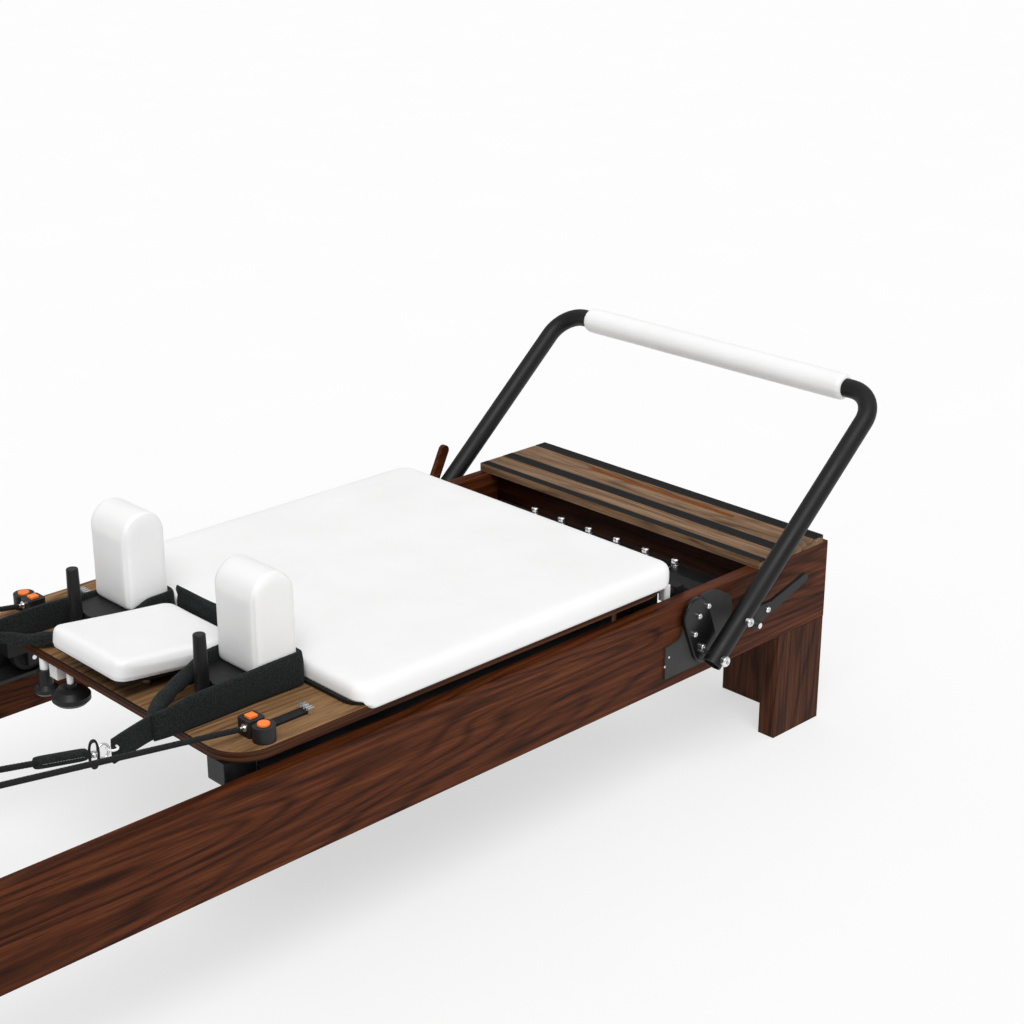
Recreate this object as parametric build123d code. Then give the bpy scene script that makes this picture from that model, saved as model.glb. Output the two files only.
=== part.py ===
from build123d import *
import os
from math import acos, atan2, cos, degrees, hypot, pi, radians, sin

# Pilates reformer: a low wooden frame, a carriage on rollers, a pivoting footbar and rope pulleys.
# Millimetres. +X points to the foot end (footbar), +Y to the far side, +Z up.
# The origin is on the floor, in the middle of the whole machine's plan.

# ---------------------------------------------------------------- driving dimensions
FRAME_LENGTH = 2400
FRAME_WIDTH = 710
RAIL_TOP = 355
RAIL_HEIGHT = 150
RAIL_THICK = 27
LEG_THICK = 36
LEG_SIDE_WIDTH = 130
LEG_END_WIDTH = 200

# footbar: an arm's length from the pivot to the grip's line, at its rest angle above level
PIVOT_FROM_FOOT = 348
PIVOT_Z = 247.5
ARM_LENGTH = 564
BAR_ANGLE = 41.25
BAR_TUBE_R = 17
BAR_TUBE_WALL = 2.5
BAR_BEND_R = 58
BAR_OUTSTAND = 36
BAR_TAIL = 14
LATCH_PIN_AT = 81
GRIP_R = 25
GRIP_HALF = 318

# carriage, with distances counted from the foot end of the frame
BOARD_FOOT = 404
BOARD_HEAD = 1310
BOARD_HALF = 340
BOARD_BOTTOM = 373
BOARD_THICK = 18
BOARD_CORNER_R = 62
CUSHION_FOOT = 402
CUSHION_HEAD = 1085
CUSHION_HALF = 344
CUSHION_HEM = 384.5
CUSHION_TOP = 425
BACKING_THICK = 6
BACKING_HALF = 336

# rollers run on the ledges of the tracks
ROLLER_R = 28
ROLLER_WIDTH = 20
ROLLER_Y = 293
ROLLER_AXLE_Z = 325.3
ROLLER_FOOT = 456
ROLLER_HEAD = 1262
AXLE_R = 4

# springs and their bar
POST_COUNT = 6
POST_PITCH = 72
SPRING_BAR_FROM_FOOT = 216
SPRING_Z = 317
SPRING_ANCHOR_FROM_FOOT = 960

# shoulder rests, strap posts, cleats and headrest, each pair mirrored about the middle
REST_FROM_FOOT = 1136
REST_DEPTH = 78
REST_INNER = 114
REST_OUTER = 216
REST_BOTTOM = 424
REST_TOP = 583
STRAP_POST_FROM_FOOT = 1238
STRAP_POST_Y = 168
STRAP_POST_TOP = 503
CLEAT_FROM_FOOT = 1242
CUP_Y = 319
CLEAT_BLOCK_Y = 290
HEADREST_HALF = 97
HEADREST_FOOT = 1112
HEADREST_HEAD = 1334
HEADREST_TILT = 6.7
HEADREST_PAD_THICK = 30

# rope, pulleys and risers at the head end
ROPE_R = 4.5
ROPE_Y = 295
PULLEY_FROM_FOOT = 2320
PULLEY_Z = 590
PULLEY_PITCH_R = 26.5
EYELET_FROM_FOOT = 1270
EYELET_Z = 407
SNAP_FROM_FOOT = 1474
SNAP_Z = 426
SNAP_Y = -241

# ---------------------------------------------------------------- derived places
FOOT_OVERHANG = ARM_LENGTH * cos(radians(BAR_ANGLE)) + GRIP_R - PIVOT_FROM_FOOT
HEAD_X = -(FRAME_LENGTH + FOOT_OVERHANG) / 2
FOOT_X = HEAD_X + FRAME_LENGTH
HALF_WIDTH = FRAME_WIDTH / 2
RAIL_INNER = HALF_WIDTH - RAIL_THICK
RAIL_BOTTOM = RAIL_TOP - RAIL_HEIGHT
PIVOT_X = FOOT_X - PIVOT_FROM_FOOT
BAR_Y = HALF_WIDTH + BAR_OUTSTAND
BOARD_TOP = BOARD_BOTTOM + BOARD_THICK
RUN_GAP = 0.3
FIT = 0.05


# ---------------------------------------------------------------- small helpers
def back(distance):
    """X of a place that lies this far from the foot end, towards the head."""
    return FOOT_X - distance


def block(x0, x1, y0, y1, z0, z1):
    """A box between two corners."""
    size = Box(abs(x1 - x0), abs(y1 - y0), abs(z1 - z0))
    return Pos((x0 + x1) / 2, (y0 + y1) / 2, (z0 + z1) / 2) * size


def pin(x, y0, y1, z, radius):
    """A cylinder lying along Y."""
    body = Rot(90, 0, 0) * Cylinder(radius, abs(y1 - y0))
    return Pos(x, (y0 + y1) / 2, z) * body


def pin_x(x0, x1, y, z, radius):
    """A cylinder lying along X."""
    return Pos((x0 + x1) / 2, y, z) * (Rot(0, 90, 0) * Cylinder(radius, abs(x1 - x0)))


def stud(x, y, z0, z1, radius):
    """A cylinder standing along Z."""
    return Pos(x, y, (z0 + z1) / 2) * Cylinder(radius, abs(z1 - z0))


def rounded_plate(x0, x1, y0, y1, z0, z1, radius):
    """A plate whose four upright edges are rounded."""
    outline = RectangleRounded(abs(x1 - x0), abs(y1 - y0), radius)
    return Pos((x0 + x1) / 2, (y0 + y1) / 2, z0) * extrude(outline, z1 - z0)


def soften(shape, axis, radius):
    """Round the edges that run along one axis."""
    return fillet(shape.edges().filter_by(axis), radius)


def soften_rims(shape, radius):
    """Round the top and bottom rims of an upright plate."""
    flats = shape.faces().filter_by(Axis.Z)
    rims = flats.sort_by(Axis.Z)[0].edges() + flats.sort_by(Axis.Z)[-1].edges()
    return fillet(rims, radius)


def mirrored(shape):
    """The same piece on the other side of the machine."""
    return mirror(shape, about=Plane.XZ)


def pair(shape):
    """A piece and its mirror image, as two separate solids."""
    return solids_of(shape) + solids_of(mirrored(shape))


def solids_of(shape):
    return list(shape.solids())


def save(name, shape):
    """Write one named piece, which may be a group of separate solids."""
    shapes = shape if isinstance(shape, list) else [shape]
    solids = [solid for one in shapes for solid in one.solids()]
    export_step(solids[0] if len(solids) == 1 else Compound(children=solids), f"parts/{name}.step")


# ---------------------------------------------------------------- wooden frame
def side_rail():
    rail = block(HEAD_X, FOOT_X, -HALF_WIDTH, -RAIL_INNER, RAIL_BOTTOM, RAIL_TOP)
    return soften(rail, Axis.X, 1.5)


def end_board(x0, x1):
    return block(x0, x1, -RAIL_INNER, RAIL_INNER, RAIL_BOTTOM, RAIL_TOP)


def leg(x_end, inward):
    """An L-shaped leg: a side board and an end board. inward is +1 when the frame lies towards +X."""
    x_side = x_end + inward * LEG_SIDE_WIDTH
    x_back = x_end + inward * LEG_THICK
    side = block(x_end, x_side, -HALF_WIDTH, -HALF_WIDTH + LEG_THICK, 0, RAIL_BOTTOM)
    end = block(x_end, x_back, -HALF_WIDTH + LEG_THICK, -HALF_WIDTH + LEG_END_WIDTH, 0, RAIL_BOTTOM)
    return [soften(side, Axis.Z, 1.5), end]


# ---------------------------------------------------------------- standing platform
PLATFORM_FRONT = 197
PLATFORM_BACK = 15
PLATFORM_THICK = 15
STRIP_BANDS = [(196, 179), (135, 110), (43, 17)]
STRIP_DEPTH = 3
STRIP_PROUD = 1
STRIP_RIB_PITCH = 4
STRIP_RIB_GAP = 1.2
STRIP_RIB_DEPTH = 1.2
PLATFORM_SLOT_X = 62
PLATFORM_SLOT_LENGTH = 372
PLATFORM_SLOT_WIDTH = 11
PLATFORM_SLOT_DEPTH = 8


def platform_board():
    top = RAIL_TOP + PLATFORM_THICK
    board = block(back(PLATFORM_FRONT), back(PLATFORM_BACK), -HALF_WIDTH, HALF_WIDTH, RAIL_TOP, top)
    for start, end in STRIP_BANDS:
        board -= block(back(start), back(end), -HALF_WIDTH, HALF_WIDTH, top - STRIP_DEPTH, top)
    slot = RectangleRounded(PLATFORM_SLOT_WIDTH, PLATFORM_SLOT_LENGTH, PLATFORM_SLOT_WIDTH / 2 - 0.2)
    board -= Pos(back(PLATFORM_SLOT_X), 0, top - PLATFORM_SLOT_DEPTH) * extrude(slot, PLATFORM_SLOT_DEPTH)
    return board


def grip_strip(start, end):
    """A black rubber strip let into the platform, ribbed along its length."""
    floor = RAIL_TOP + PLATFORM_THICK - STRIP_DEPTH
    top = RAIL_TOP + PLATFORM_THICK + STRIP_PROUD
    strip = block(back(start), back(end), -HALF_WIDTH + 1, HALF_WIDTH - 1, floor, top)
    ribs = int((start - end) / STRIP_RIB_PITCH) - 1
    for number in range(ribs):
        x = back(start) + STRIP_RIB_PITCH * (number + 1)
        strip -= block(x, x + STRIP_RIB_GAP, -HALF_WIDTH, HALF_WIDTH, top - STRIP_RIB_DEPTH, top)
    return strip


def platform_apron():
    return block(back(176), back(158), -RAIL_INNER, RAIL_INNER, RAIL_BOTTOM + 20, RAIL_TOP)


# ---------------------------------------------------------------- roller tracks and stops
TRACK_LEDGE_TOP = ROLLER_AXLE_Z - ROLLER_R - RUN_GAP
TRACK_FOOT = 292
TRACK_HEAD = 2290
BUMPER_FOOT = 390
BUMPER_HEAD = 405
STOP_GAP = 0.5


def roller_track():
    """An angle section on the rail's inner face, with the ledge that the rollers run on."""
    outer = RAIL_INNER
    x0 = back(TRACK_HEAD)
    x1 = back(TRACK_FOOT)
    wall = block(x0, x1, -outer, -outer + 4, TRACK_LEDGE_TOP - 6, 340)
    ledge = block(x0, x1, -outer, -outer + 50, TRACK_LEDGE_TOP - 6, TRACK_LEDGE_TOP)
    return wall + ledge


def carriage_stop():
    """A rubber buffer on a block, which the carriage's corner bumper rests against."""
    face = BUMPER_FOOT - STOP_GAP
    inner = -RAIL_INNER + 4
    holder = block(back(face - 10), back(face - 30), inner, inner + 26, TRACK_LEDGE_TOP, 366)
    buffer = pin_x(back(face), back(face - 10), inner + 10, 357, 8)
    return holder + buffer


# ---------------------------------------------------------------- spring bar
SPRING_BAR_TOP = 310
SPRING_BAR_HALF = 300
SPRING_BAR_WIDTH = 36
SPRING_BAR_WALL = 4


def spring_bar_bracket():
    """A steel shelf on the rail that carries one end of the spring bar."""
    shelf_points = [(290, 0), (178, 0), (178, 74), (204, 86), (262, 86), (290, 64)]
    corners = [(back(x), -RAIL_INNER + y) for x, y in shelf_points]
    shelf = Pos(0, 0, SPRING_BAR_TOP - 24) * extrude(make_face(Polyline(*corners, close=True)), 4)
    wall = block(back(290), back(178), -RAIL_INNER, -RAIL_INNER + 4, 236, SPRING_BAR_TOP - 24)
    return shelf + wall


def bracket_bolt():
    """The bolt that holds the shelf's foot corner."""
    return stud(back(189), -RAIL_INNER + 66, SPRING_BAR_TOP - 20, SPRING_BAR_TOP - 13, 8)


def spring_bar():
    x = back(SPRING_BAR_FROM_FOOT)
    half = SPRING_BAR_WIDTH / 2
    bar = block(x - half, x + half, -SPRING_BAR_HALF, SPRING_BAR_HALF, SPRING_BAR_TOP - 20, SPRING_BAR_TOP)
    inside = half - SPRING_BAR_WALL
    roof = SPRING_BAR_TOP - SPRING_BAR_WALL
    hollow = block(x - inside, x + inside, -SPRING_BAR_HALF, SPRING_BAR_HALF, SPRING_BAR_TOP - 20, roof)
    return soften(bar, Axis.X, 8) - hollow


def spring_post(y):
    """A turned steel post with a domed head over a waist for the spring's eye."""
    x, z = back(SPRING_BAR_FROM_FOOT), SPRING_BAR_TOP
    head = fillet(stud(x, y, z + 12, z + 20, 8.5).edges().sort_by(Axis.Z)[-1], 4)
    return stud(x, y, z, z + 3, 7) + stud(x, y, z, z + 13, 4) + head


def post_places():
    return [POST_PITCH * (number - (POST_COUNT - 1) / 2) for number in range(POST_COUNT)]


SPRING_COIL_R = 9.5
SPRING_COIL_INNER = 6.5
SPRING_COIL_FOOT = 262
SPRING_EYE_R = 6.4
SPRING_WIRE_R = 1.6


def spring(y):
    """One extension spring: its coil as a tube, with a wire and an eye at each end."""
    x_bar = back(SPRING_BAR_FROM_FOOT)
    x_anchor = back(SPRING_ANCHOR_FROM_FOOT)
    x0 = x_anchor + 42
    x1 = back(SPRING_COIL_FOOT)
    shape = pin_x(x0, x1, y, SPRING_Z, SPRING_COIL_R) - pin_x(x0, x1, y, SPRING_Z, SPRING_COIL_INNER)
    for x_eye, x_end in ((x_bar, x1), (x_anchor, x0)):
        away = 1 if x_end > x_eye else -1
        start = x_eye + away * SPRING_EYE_R
        wire = pin_x(start, x_end, y, SPRING_Z, SPRING_WIRE_R)
        cap = pin_x(x_end - away * 3, x_end, y, SPRING_Z, SPRING_COIL_R)
        eye = Pos(x_eye, y, SPRING_Z) * Torus(SPRING_EYE_R, SPRING_WIRE_R)
        shape = shape + cap + wire + eye
    return shape


def spring_anchor_bar():
    """A steel angle under the carriage with one pin for each spring's far eye."""
    x = back(SPRING_ANCHOR_FROM_FOOT)
    bar = block(x - 18, x + 18, -205, 205, 331, 337)
    bar += block(x - 18, x - 12, -205, 205, 331, BOARD_BOTTOM)
    for y in post_places():
        bar += stud(x, y, 311, 331, 4)
        bar += stud(x, y, 308, 312, 7.5)
    return bar


# ---------------------------------------------------------------- cam plates of the footbar
CAM_THICK = 3
CAM_BLOCK_THICK = 8
CAM_BOLTS = [(2.5, 88), (-20, 76), (-30, 45.5), (-9, 16)]
CAM_SCREWS = [(-84, 17), (-94, 2.5)]


def cam_outline():
    """The plate's outline about the pivot: a straight foot to the left and a lobe that sweeps over."""
    foot = Polyline((30, -22), (-92, -22), (-92, 36), (-60, 40))
    flank = Spline((-60, 40), (-46, 66), (-24, 96), tangents=((1, 0.25), (0.75, 0.66)))
    lobe = ThreePointArc((-24, 96), (10, 108), (58, 93))
    heel = ThreePointArc((58, 93), (79, 66), (70, 36))
    tail = Line((70, 36), (30, -22))
    return make_face(foot + flank + lobe + heel + tail)


def on_rail_face(sketch, y, thick):
    """Stand a sketch drawn about the pivot on the near rail's outer side, growing outwards."""
    face = Plane(origin=(PIVOT_X, y, PIVOT_Z), x_dir=(1, 0, 0), z_dir=(0, -1, 0)) * sketch
    return extrude(face, thick)


def cam_plate():
    plate = on_rail_face(cam_outline(), -HALF_WIDTH, CAM_THICK)
    return plate - pin(PIVOT_X, -HALF_WIDTH - 20, -HALF_WIDTH, PIVOT_Z, 6 + FIT)


def cam_block():
    """The moulded stop block on the cam plate, a leaning rounded slab with a bore for the pivot."""
    slab = Pos(-10, 46) * (Rot(0, 0, -68) * SlotOverall(130, 62))
    body = on_rail_face(slab, -HALF_WIDTH - CAM_THICK, CAM_BLOCK_THICK)
    body = fillet(body.edges().group_by(Axis.Y)[0], 2.5)
    body -= pin(PIVOT_X, -HALF_WIDTH - 20, -HALF_WIDTH, PIVOT_Z, 6 + FIT)
    return body


def cam_fasteners():
    """Bolt heads on the stop block and two small screws in the plate's foot."""
    heads = []
    block_face = -HALF_WIDTH - CAM_THICK - CAM_BLOCK_THICK
    for dx, dz in CAM_BOLTS:
        heads.append(pin(PIVOT_X + dx, block_face - 4, block_face, PIVOT_Z + dz, 5))
    for dx, dz in CAM_SCREWS:
        heads.append(pin(PIVOT_X + dx, -HALF_WIDTH - CAM_THICK - 1, -HALF_WIDTH - CAM_THICK, PIVOT_Z + dz, 2))
    return heads


# ---------------------------------------------------------------- footbar
def bar_point(distance, y, across=0):
    """A point on an arm: distance from the pivot along it, and across it upwards."""
    a = radians(BAR_ANGLE)
    x = PIVOT_X + distance * cos(a) - across * sin(a)
    z = PIVOT_Z + distance * sin(a) + across * cos(a)
    return (x, y, z)


def footbar_tube():
    """One bent tube: two arms and the rung between them."""
    route = FilletPolyline(
        bar_point(-BAR_TAIL, -BAR_Y),
        bar_point(ARM_LENGTH, -BAR_Y),
        bar_point(ARM_LENGTH, BAR_Y),
        bar_point(-BAR_TAIL, BAR_Y),
        radius=BAR_BEND_R,
    )
    outer = sweep(Plane(route @ 0, z_dir=route % 0) * Circle(BAR_TUBE_R), path=route)
    inner = sweep(Plane(route @ 0, z_dir=route % 0) * Circle(BAR_TUBE_R - BAR_TUBE_WALL), path=route)
    tube = outer + lever_lug() - inner
    for side in (-1, 1):
        y0, y1 = side * (BAR_Y - 30), side * (BAR_Y + 30)
        tube -= pin(PIVOT_X, y0, y1, PIVOT_Z, 6 + FIT)
        x, _, z = bar_point(LATCH_PIN_AT, 0)
        tube -= pin(x, y0, y1, z, 4 + FIT)
    return tube


def footbar_grip():
    """The padded sleeve round the rung."""
    x, _, z = bar_point(ARM_LENGTH, 0)
    sleeve = pin(x, -GRIP_HALF, GRIP_HALF, z, GRIP_R)
    sleeve = fillet(sleeve.edges(), 6)
    return sleeve - pin(x, -GRIP_HALF, GRIP_HALF, z, BAR_TUBE_R + 0.02)


def arm_bolt(x, z, shank_r, head_r, head_y, inner_y):
    """A bolt through the near arm: its shank runs inwards from a head at head_y."""
    shank = pin(x, -head_y, -inner_y, z, shank_r)
    return shank + pin(x, -head_y - BOLT_HEAD, -head_y, z, head_r)


BOLT_HEAD = 6
HANDLE_THICK = 11
HANDLE_LEAN = 64
HANDLE_LENGTH = 124


def footbar_bolts():
    """The pivot bolts, the latch bolts and the lever's small bolt."""
    outside = BAR_Y + BAR_TUBE_R
    x, _, z = bar_point(LATCH_PIN_AT, 0)
    inner = BAR_Y - BAR_TUBE_R - 1
    pivots = pair(arm_bolt(PIVOT_X, PIVOT_Z, 6, 9.5, outside, HALF_WIDTH))
    near_latch = arm_bolt(x, z, 4, 8, outside, inner)
    far_latch = mirrored(arm_bolt(x, z, 4, 8, outside + HANDLE_THICK + 2 * RUN_GAP, inner))
    lever = arm_bolt(LEVER_X, LEVER_Z, 3, 5, LUG_Y1, LEVER_Y0 - 1)
    return [*pivots, near_latch, far_latch, lever]


# ---------------------------------------------------------------- footbar latch lever and handle
LEVER_X = back(236)
LEVER_Z = 272.5
LEVER_TIP = (135, 48)
LEVER_Y0 = HALF_WIDTH + 23
LEVER_Y1 = HALF_WIDTH + 30
LUG_Y0 = LEVER_Y1 + RUN_GAP
LUG_Y1 = LUG_Y0 + 4


def lever_lug():
    """The ear welded under the near arm, which carries the lever's small bolt."""
    ax, _, az = bar_point(LATCH_PIN_AT - 6, 0)
    bx, _, bz = bar_point(LATCH_PIN_AT + 34, 0)
    outline = Polyline((ax, az), (bx, bz), (LEVER_X + 9, LEVER_Z + 2), (LEVER_X + 2, LEVER_Z - 9),
                       (LEVER_X - 8, LEVER_Z - 4), close=True)
    plane = Plane(origin=(0, -LUG_Y0, 0), x_dir=(1, 0, 0), z_dir=(0, -1, 0))
    lug = extrude(plane * make_face(outline), LUG_Y1 - LUG_Y0)
    return lug - pin(LEVER_X, -LUG_Y1, -LUG_Y0, LEVER_Z, 3)


def latch_lever():
    """A flat steel lever on the near arm, with a short hub and a long rounded handle."""
    outline = make_hull([
        Pos(0, 0) * Circle(9).edge(),
        Pos(4, 22) * Circle(9).edge(),
        Pos(48, 22) * Circle(9).edge(),
    ])
    handle = make_hull([
        Pos(44, 20) * Circle(11).edge(),
        Pos(*LEVER_TIP) * Circle(7.5).edge(),
    ])
    plane = Plane(origin=(LEVER_X, -LEVER_Y0, LEVER_Z), x_dir=(1, 0, 0), z_dir=(0, -1, 0))
    lever = extrude(plane * outline, LEVER_Y1 - LEVER_Y0) + extrude(plane * handle, LEVER_Y1 - LEVER_Y0)
    return lever - pin(LEVER_X, -LEVER_Y1, -LEVER_Y0, LEVER_Z, 3 + FIT)


def latch_handle():
    """The wooden grip of the far arm's latch, standing up from the latch bolt outside the tube."""
    x, _, z = bar_point(LATCH_PIN_AT, 0)
    outline = Rot(0, 0, HANDLE_LEAN) * (Pos(HANDLE_LENGTH / 2 - 10.5, 0) * SlotOverall(HANDLE_LENGTH, 21))
    face_y = -BAR_Y - BAR_TUBE_R - RUN_GAP
    plane = Plane(origin=(x, face_y, z), x_dir=(1, 0, 0), z_dir=(0, -1, 0))
    grip = extrude(plane * outline, HANDLE_THICK)
    grip = soften_rims_y(grip, 2)
    return mirrored(grip - pin(x, face_y - HANDLE_THICK, face_y, z, 4 + FIT))


def soften_rims_y(shape, radius):
    """Round the rims of a plate that stands facing Y."""
    flats = shape.faces().filter_by(Axis.Y).sort_by(Axis.Y)
    return fillet(flats[0].edges() + flats[-1].edges(), radius)


# ---------------------------------------------------------------- carriage
def carriage_board():
    return soften_rims(board_outline(0, BOARD_BOTTOM, BOARD_TOP), 3)


def cushion_backing():
    return rounded_plate(
        back(CUSHION_HEAD + 5), back(BOARD_FOOT + 4), -BACKING_HALF, BACKING_HALF,
        BOARD_TOP, BOARD_TOP + BACKING_THICK, 30,
    )


def board_outline(grow, z0, z1):
    """A slab in the outline of the carriage board, grown outwards all round."""
    half = BOARD_HALF + grow
    return rounded_plate(back(BOARD_HEAD) - grow, back(BOARD_FOOT) + grow, -half, half, z0, z1, BOARD_CORNER_R + grow)


def carriage_cushion():
    """The cushion, whose hem hangs a little below the board's top round the foot end and the sides."""
    pad = rounded_plate(
        back(CUSHION_HEAD), back(CUSHION_FOOT), -CUSHION_HALF, CUSHION_HALF, CUSHION_HEM, CUSHION_TOP, 30,
    )
    pad = fillet(pad.faces().sort_by(Axis.Z)[-1].edges(), 12)
    pad -= board_outline(0.4, CUSHION_HEM, BOARD_TOP)
    return pad - rounded_plate(
        back(CUSHION_HEAD + 20), back(BOARD_FOOT + 4), -BACKING_HALF, BACKING_HALF,
        BOARD_TOP, BOARD_TOP + BACKING_THICK, 30,
    )


def corner_bumper():
    """The white nylon bumper under the board's foot corner, which meets the stop."""
    return rounded_plate(back(BUMPER_HEAD), back(BUMPER_FOOT), -322, -306, 346, BOARD_BOTTOM, 3)


HOUSING_REACH = 45
HOUSING_OPEN = 11
HOUSING_BOTTOM = 337
CHEEK_BOTTOM = 313


def roller_housing(distance, outward):
    """A black cover over the outer half of a roller; its two cheeks reach down to the axle."""
    x = back(distance)
    y0, y1 = -ROLLER_Y - 20, -ROLLER_Y + 25
    end = x - outward * HOUSING_REACH
    mouth = x + outward * HOUSING_OPEN
    shell = rounded_plate(min(end, mouth), max(end, mouth), y0, y1, HOUSING_BOTTOM, BOARD_BOTTOM, 4)
    shell += block(x - HOUSING_OPEN, x + HOUSING_OPEN, y0, y1, CHEEK_BOTTOM, HOUSING_BOTTOM + 3)
    room_end = end + outward * 7
    room_mouth = mouth + outward
    shell -= block(room_end, room_mouth, -ROLLER_Y - 14, -ROLLER_Y + 14, CHEEK_BOTTOM, 361)
    shell -= pin(x, y0, y1, ROLLER_AXLE_Z, AXLE_R + 0.02)
    return shell


def roller_axle(distance):
    x = back(distance)
    axle = pin(x, -ROLLER_Y - 22, -ROLLER_Y + 26, ROLLER_AXLE_Z, AXLE_R)
    return axle + pin(x, -ROLLER_Y - 24, -ROLLER_Y - 20, ROLLER_AXLE_Z, 7)


def roller(distance, side):
    """A ball-bearing roller with a soft tyre, shaped with a shallow waist."""
    half = ROLLER_WIDTH / 2
    wheel = pin(back(distance), -half, half, ROLLER_AXLE_Z, ROLLER_R)
    wheel = fillet(wheel.edges(), 3)
    wheel -= pin(back(distance), -half, half, ROLLER_AXLE_Z, AXLE_R + FIT)
    for face in (-1, 1):
        ring = pin(back(distance), face * (half - 2), face * half, ROLLER_AXLE_Z, 19)
        ring -= pin(back(distance), face * (half - 2), face * half, ROLLER_AXLE_Z, 9)
        wheel -= ring
    return Pos(0, side * ROLLER_Y, 0) * wheel


# ---------------------------------------------------------------- shoulder rests
def rest_base():
    """The black foot of a shoulder rest: a raised round-ended plinth with a socket for the tongue."""
    plinth = rounded_plate(
        back(REST_FROM_FOOT + 92), back(REST_FROM_FOOT - REST_DEPTH / 2 + 4),
        -REST_OUTER + 3, -REST_INNER - 3, BOARD_TOP, REST_BOTTOM - RUN_GAP, 34,
    )
    plinth = fillet(plinth.faces().sort_by(Axis.Z)[-1].edges(), 4)
    middle = -(REST_INNER + REST_OUTER) / 2
    x = back(REST_FROM_FOOT)
    socket = block(x - 22, x + 22, middle - 32, middle + 32, BOARD_TOP + 3, REST_BOTTOM)
    post_room = stud(back(STRAP_POST_FROM_FOOT), -STRAP_POST_Y, BOARD_TOP, REST_BOTTOM, 14)
    return plinth - socket - post_room


def rest_pad():
    """A shoulder rest: a block with an arched top and a tongue that drops into the plinth."""
    half = REST_DEPTH / 2
    x = back(REST_FROM_FOOT)
    arch_z = REST_TOP - half
    sides = Polyline((x - half, arch_z), (x - half, REST_BOTTOM), (x + half, REST_BOTTOM), (x + half, arch_z))
    arch = ThreePointArc((x + half, arch_z), (x, REST_TOP), (x - half, arch_z))
    plane = Plane(origin=(0, -REST_INNER, 0), x_dir=(1, 0, 0), z_dir=(0, -1, 0))
    body = extrude(plane * make_face(sides + arch), REST_OUTER - REST_INNER)
    body = fillet(body.faces().sort_by(Axis.Y)[0].edges() + body.faces().sort_by(Axis.Y)[-1].edges(), 5)
    middle = -(REST_INNER + REST_OUTER) / 2
    tongue = block(x - 21.8, x + 21.8, middle - 31.8, middle + 31.8, BOARD_TOP + 3.5, REST_BOTTOM + 4)
    return body + tongue


def strap_post():
    """A tapered black peg that holds a strap's loop."""
    height = STRAP_POST_TOP - BOARD_TOP
    peg = Pos(back(STRAP_POST_FROM_FOOT), -STRAP_POST_Y, BOARD_TOP + height / 2) * Cone(12, 9.5, height)
    return fillet(peg.edges().sort_by(Axis.Z)[-1], 2)


# ---------------------------------------------------------------- rope cleats
CLEAT_TOP = BOARD_TOP + 24
CUP_R = 17
BLOCK_HALF = 15
POCKET_DEPTH = 4
EYELET_R = 3
TAIL_END = 1152


def cleat():
    """A rope lock: a round cup beside a square block, each with a pocket for its release button."""
    x = back(CLEAT_FROM_FOOT)
    cup = stud(x, -CUP_Y, BOARD_TOP, CLEAT_TOP, CUP_R)
    lock = rounded_plate(
        x - BLOCK_HALF, x + BLOCK_HALF, -CLEAT_BLOCK_Y - BLOCK_HALF, -CLEAT_BLOCK_Y + BLOCK_HALF,
        BOARD_TOP, CLEAT_TOP + 2, 5,
    )
    body = cup + lock
    body -= stud(x, -CUP_Y, CLEAT_TOP - POCKET_DEPTH, CLEAT_TOP, 9.5)
    body -= square_peg(7.5, CLEAT_TOP - POCKET_DEPTH, CLEAT_TOP + 2)
    return body - pin_x(x - 40, x - 10, -ROPE_Y, EYELET_Z, EYELET_R + 0.02)


def square_peg(half, z0, z1):
    """A square peg in the middle of the cleat's block."""
    x = back(CLEAT_FROM_FOOT)
    return block(x - half, x + half, -CLEAT_BLOCK_Y - half, -CLEAT_BLOCK_Y + half, z0, z1)


def cleat_button():
    """The cleat's round and square release buttons, which are pressed together."""
    x = back(CLEAT_FROM_FOOT)
    round_one = stud(x, -CUP_Y, CLEAT_TOP - 1.5, CLEAT_TOP + 3.5, 9.3)
    round_one = fillet(round_one.edges().sort_by(Axis.Z)[-1], 1.5)
    return [round_one, soften(square_peg(7.3, CLEAT_TOP - 1.5, CLEAT_TOP + 5), Axis.Z, 1.5)]


def cleat_hardware():
    """The silver eyelet that takes the rope, and the toothed clamp on the cleat's tail strap."""
    x = back(CLEAT_FROM_FOOT)
    ring_x = back(EYELET_FROM_FOOT) + 4
    shank = pin_x(ring_x, x - 10, -ROPE_Y, EYELET_Z, EYELET_R)
    flange = pin_x(x - BLOCK_HALF - 2, x - BLOCK_HALF, -ROPE_Y, EYELET_Z, 6)
    x0, x1 = back(TAIL_END), back(TAIL_END - 12)
    low = -CLEAT_BLOCK_Y - 14
    clamp = block(x0, x1, low, low + 28, BOARD_TOP, BOARD_TOP + 10)
    for number in range(4):
        y = low + 7 * (number + 0.5)
        clamp -= block(x0, x1, y - 1.5, y + 1.5, BOARD_TOP + 7, BOARD_TOP + 10)
    return [shank + flange, clamp]


def cleat_tail():
    """The black webbing tail between the cleat and its clamp."""
    near_x = back(CLEAT_FROM_FOOT) + BLOCK_HALF
    middle = -CLEAT_BLOCK_Y
    return block(near_x, back(TAIL_END), middle - 9, middle + 9, BOARD_TOP, BOARD_TOP + 4)


# ---------------------------------------------------------------- headrest
HEADREST_PIVOT_Z = BOARD_TOP + 5
HEADREST_BOARD_LOW = 1
HEADREST_PAD_LOW = 5
HEADREST_LENGTH = HEADREST_HEAD - HEADREST_FOOT
KNUCKLE_R = 3.5
HINGE_PIN_R = 2


def tilted(shape):
    """Turn a headrest piece, drawn level, about the hinge line at its foot edge."""
    hinge = Pos(back(HEADREST_FOOT), 0, HEADREST_PIVOT_Z)
    return hinge * (Rot(0, HEADREST_TILT, 0) * shape)


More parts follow.
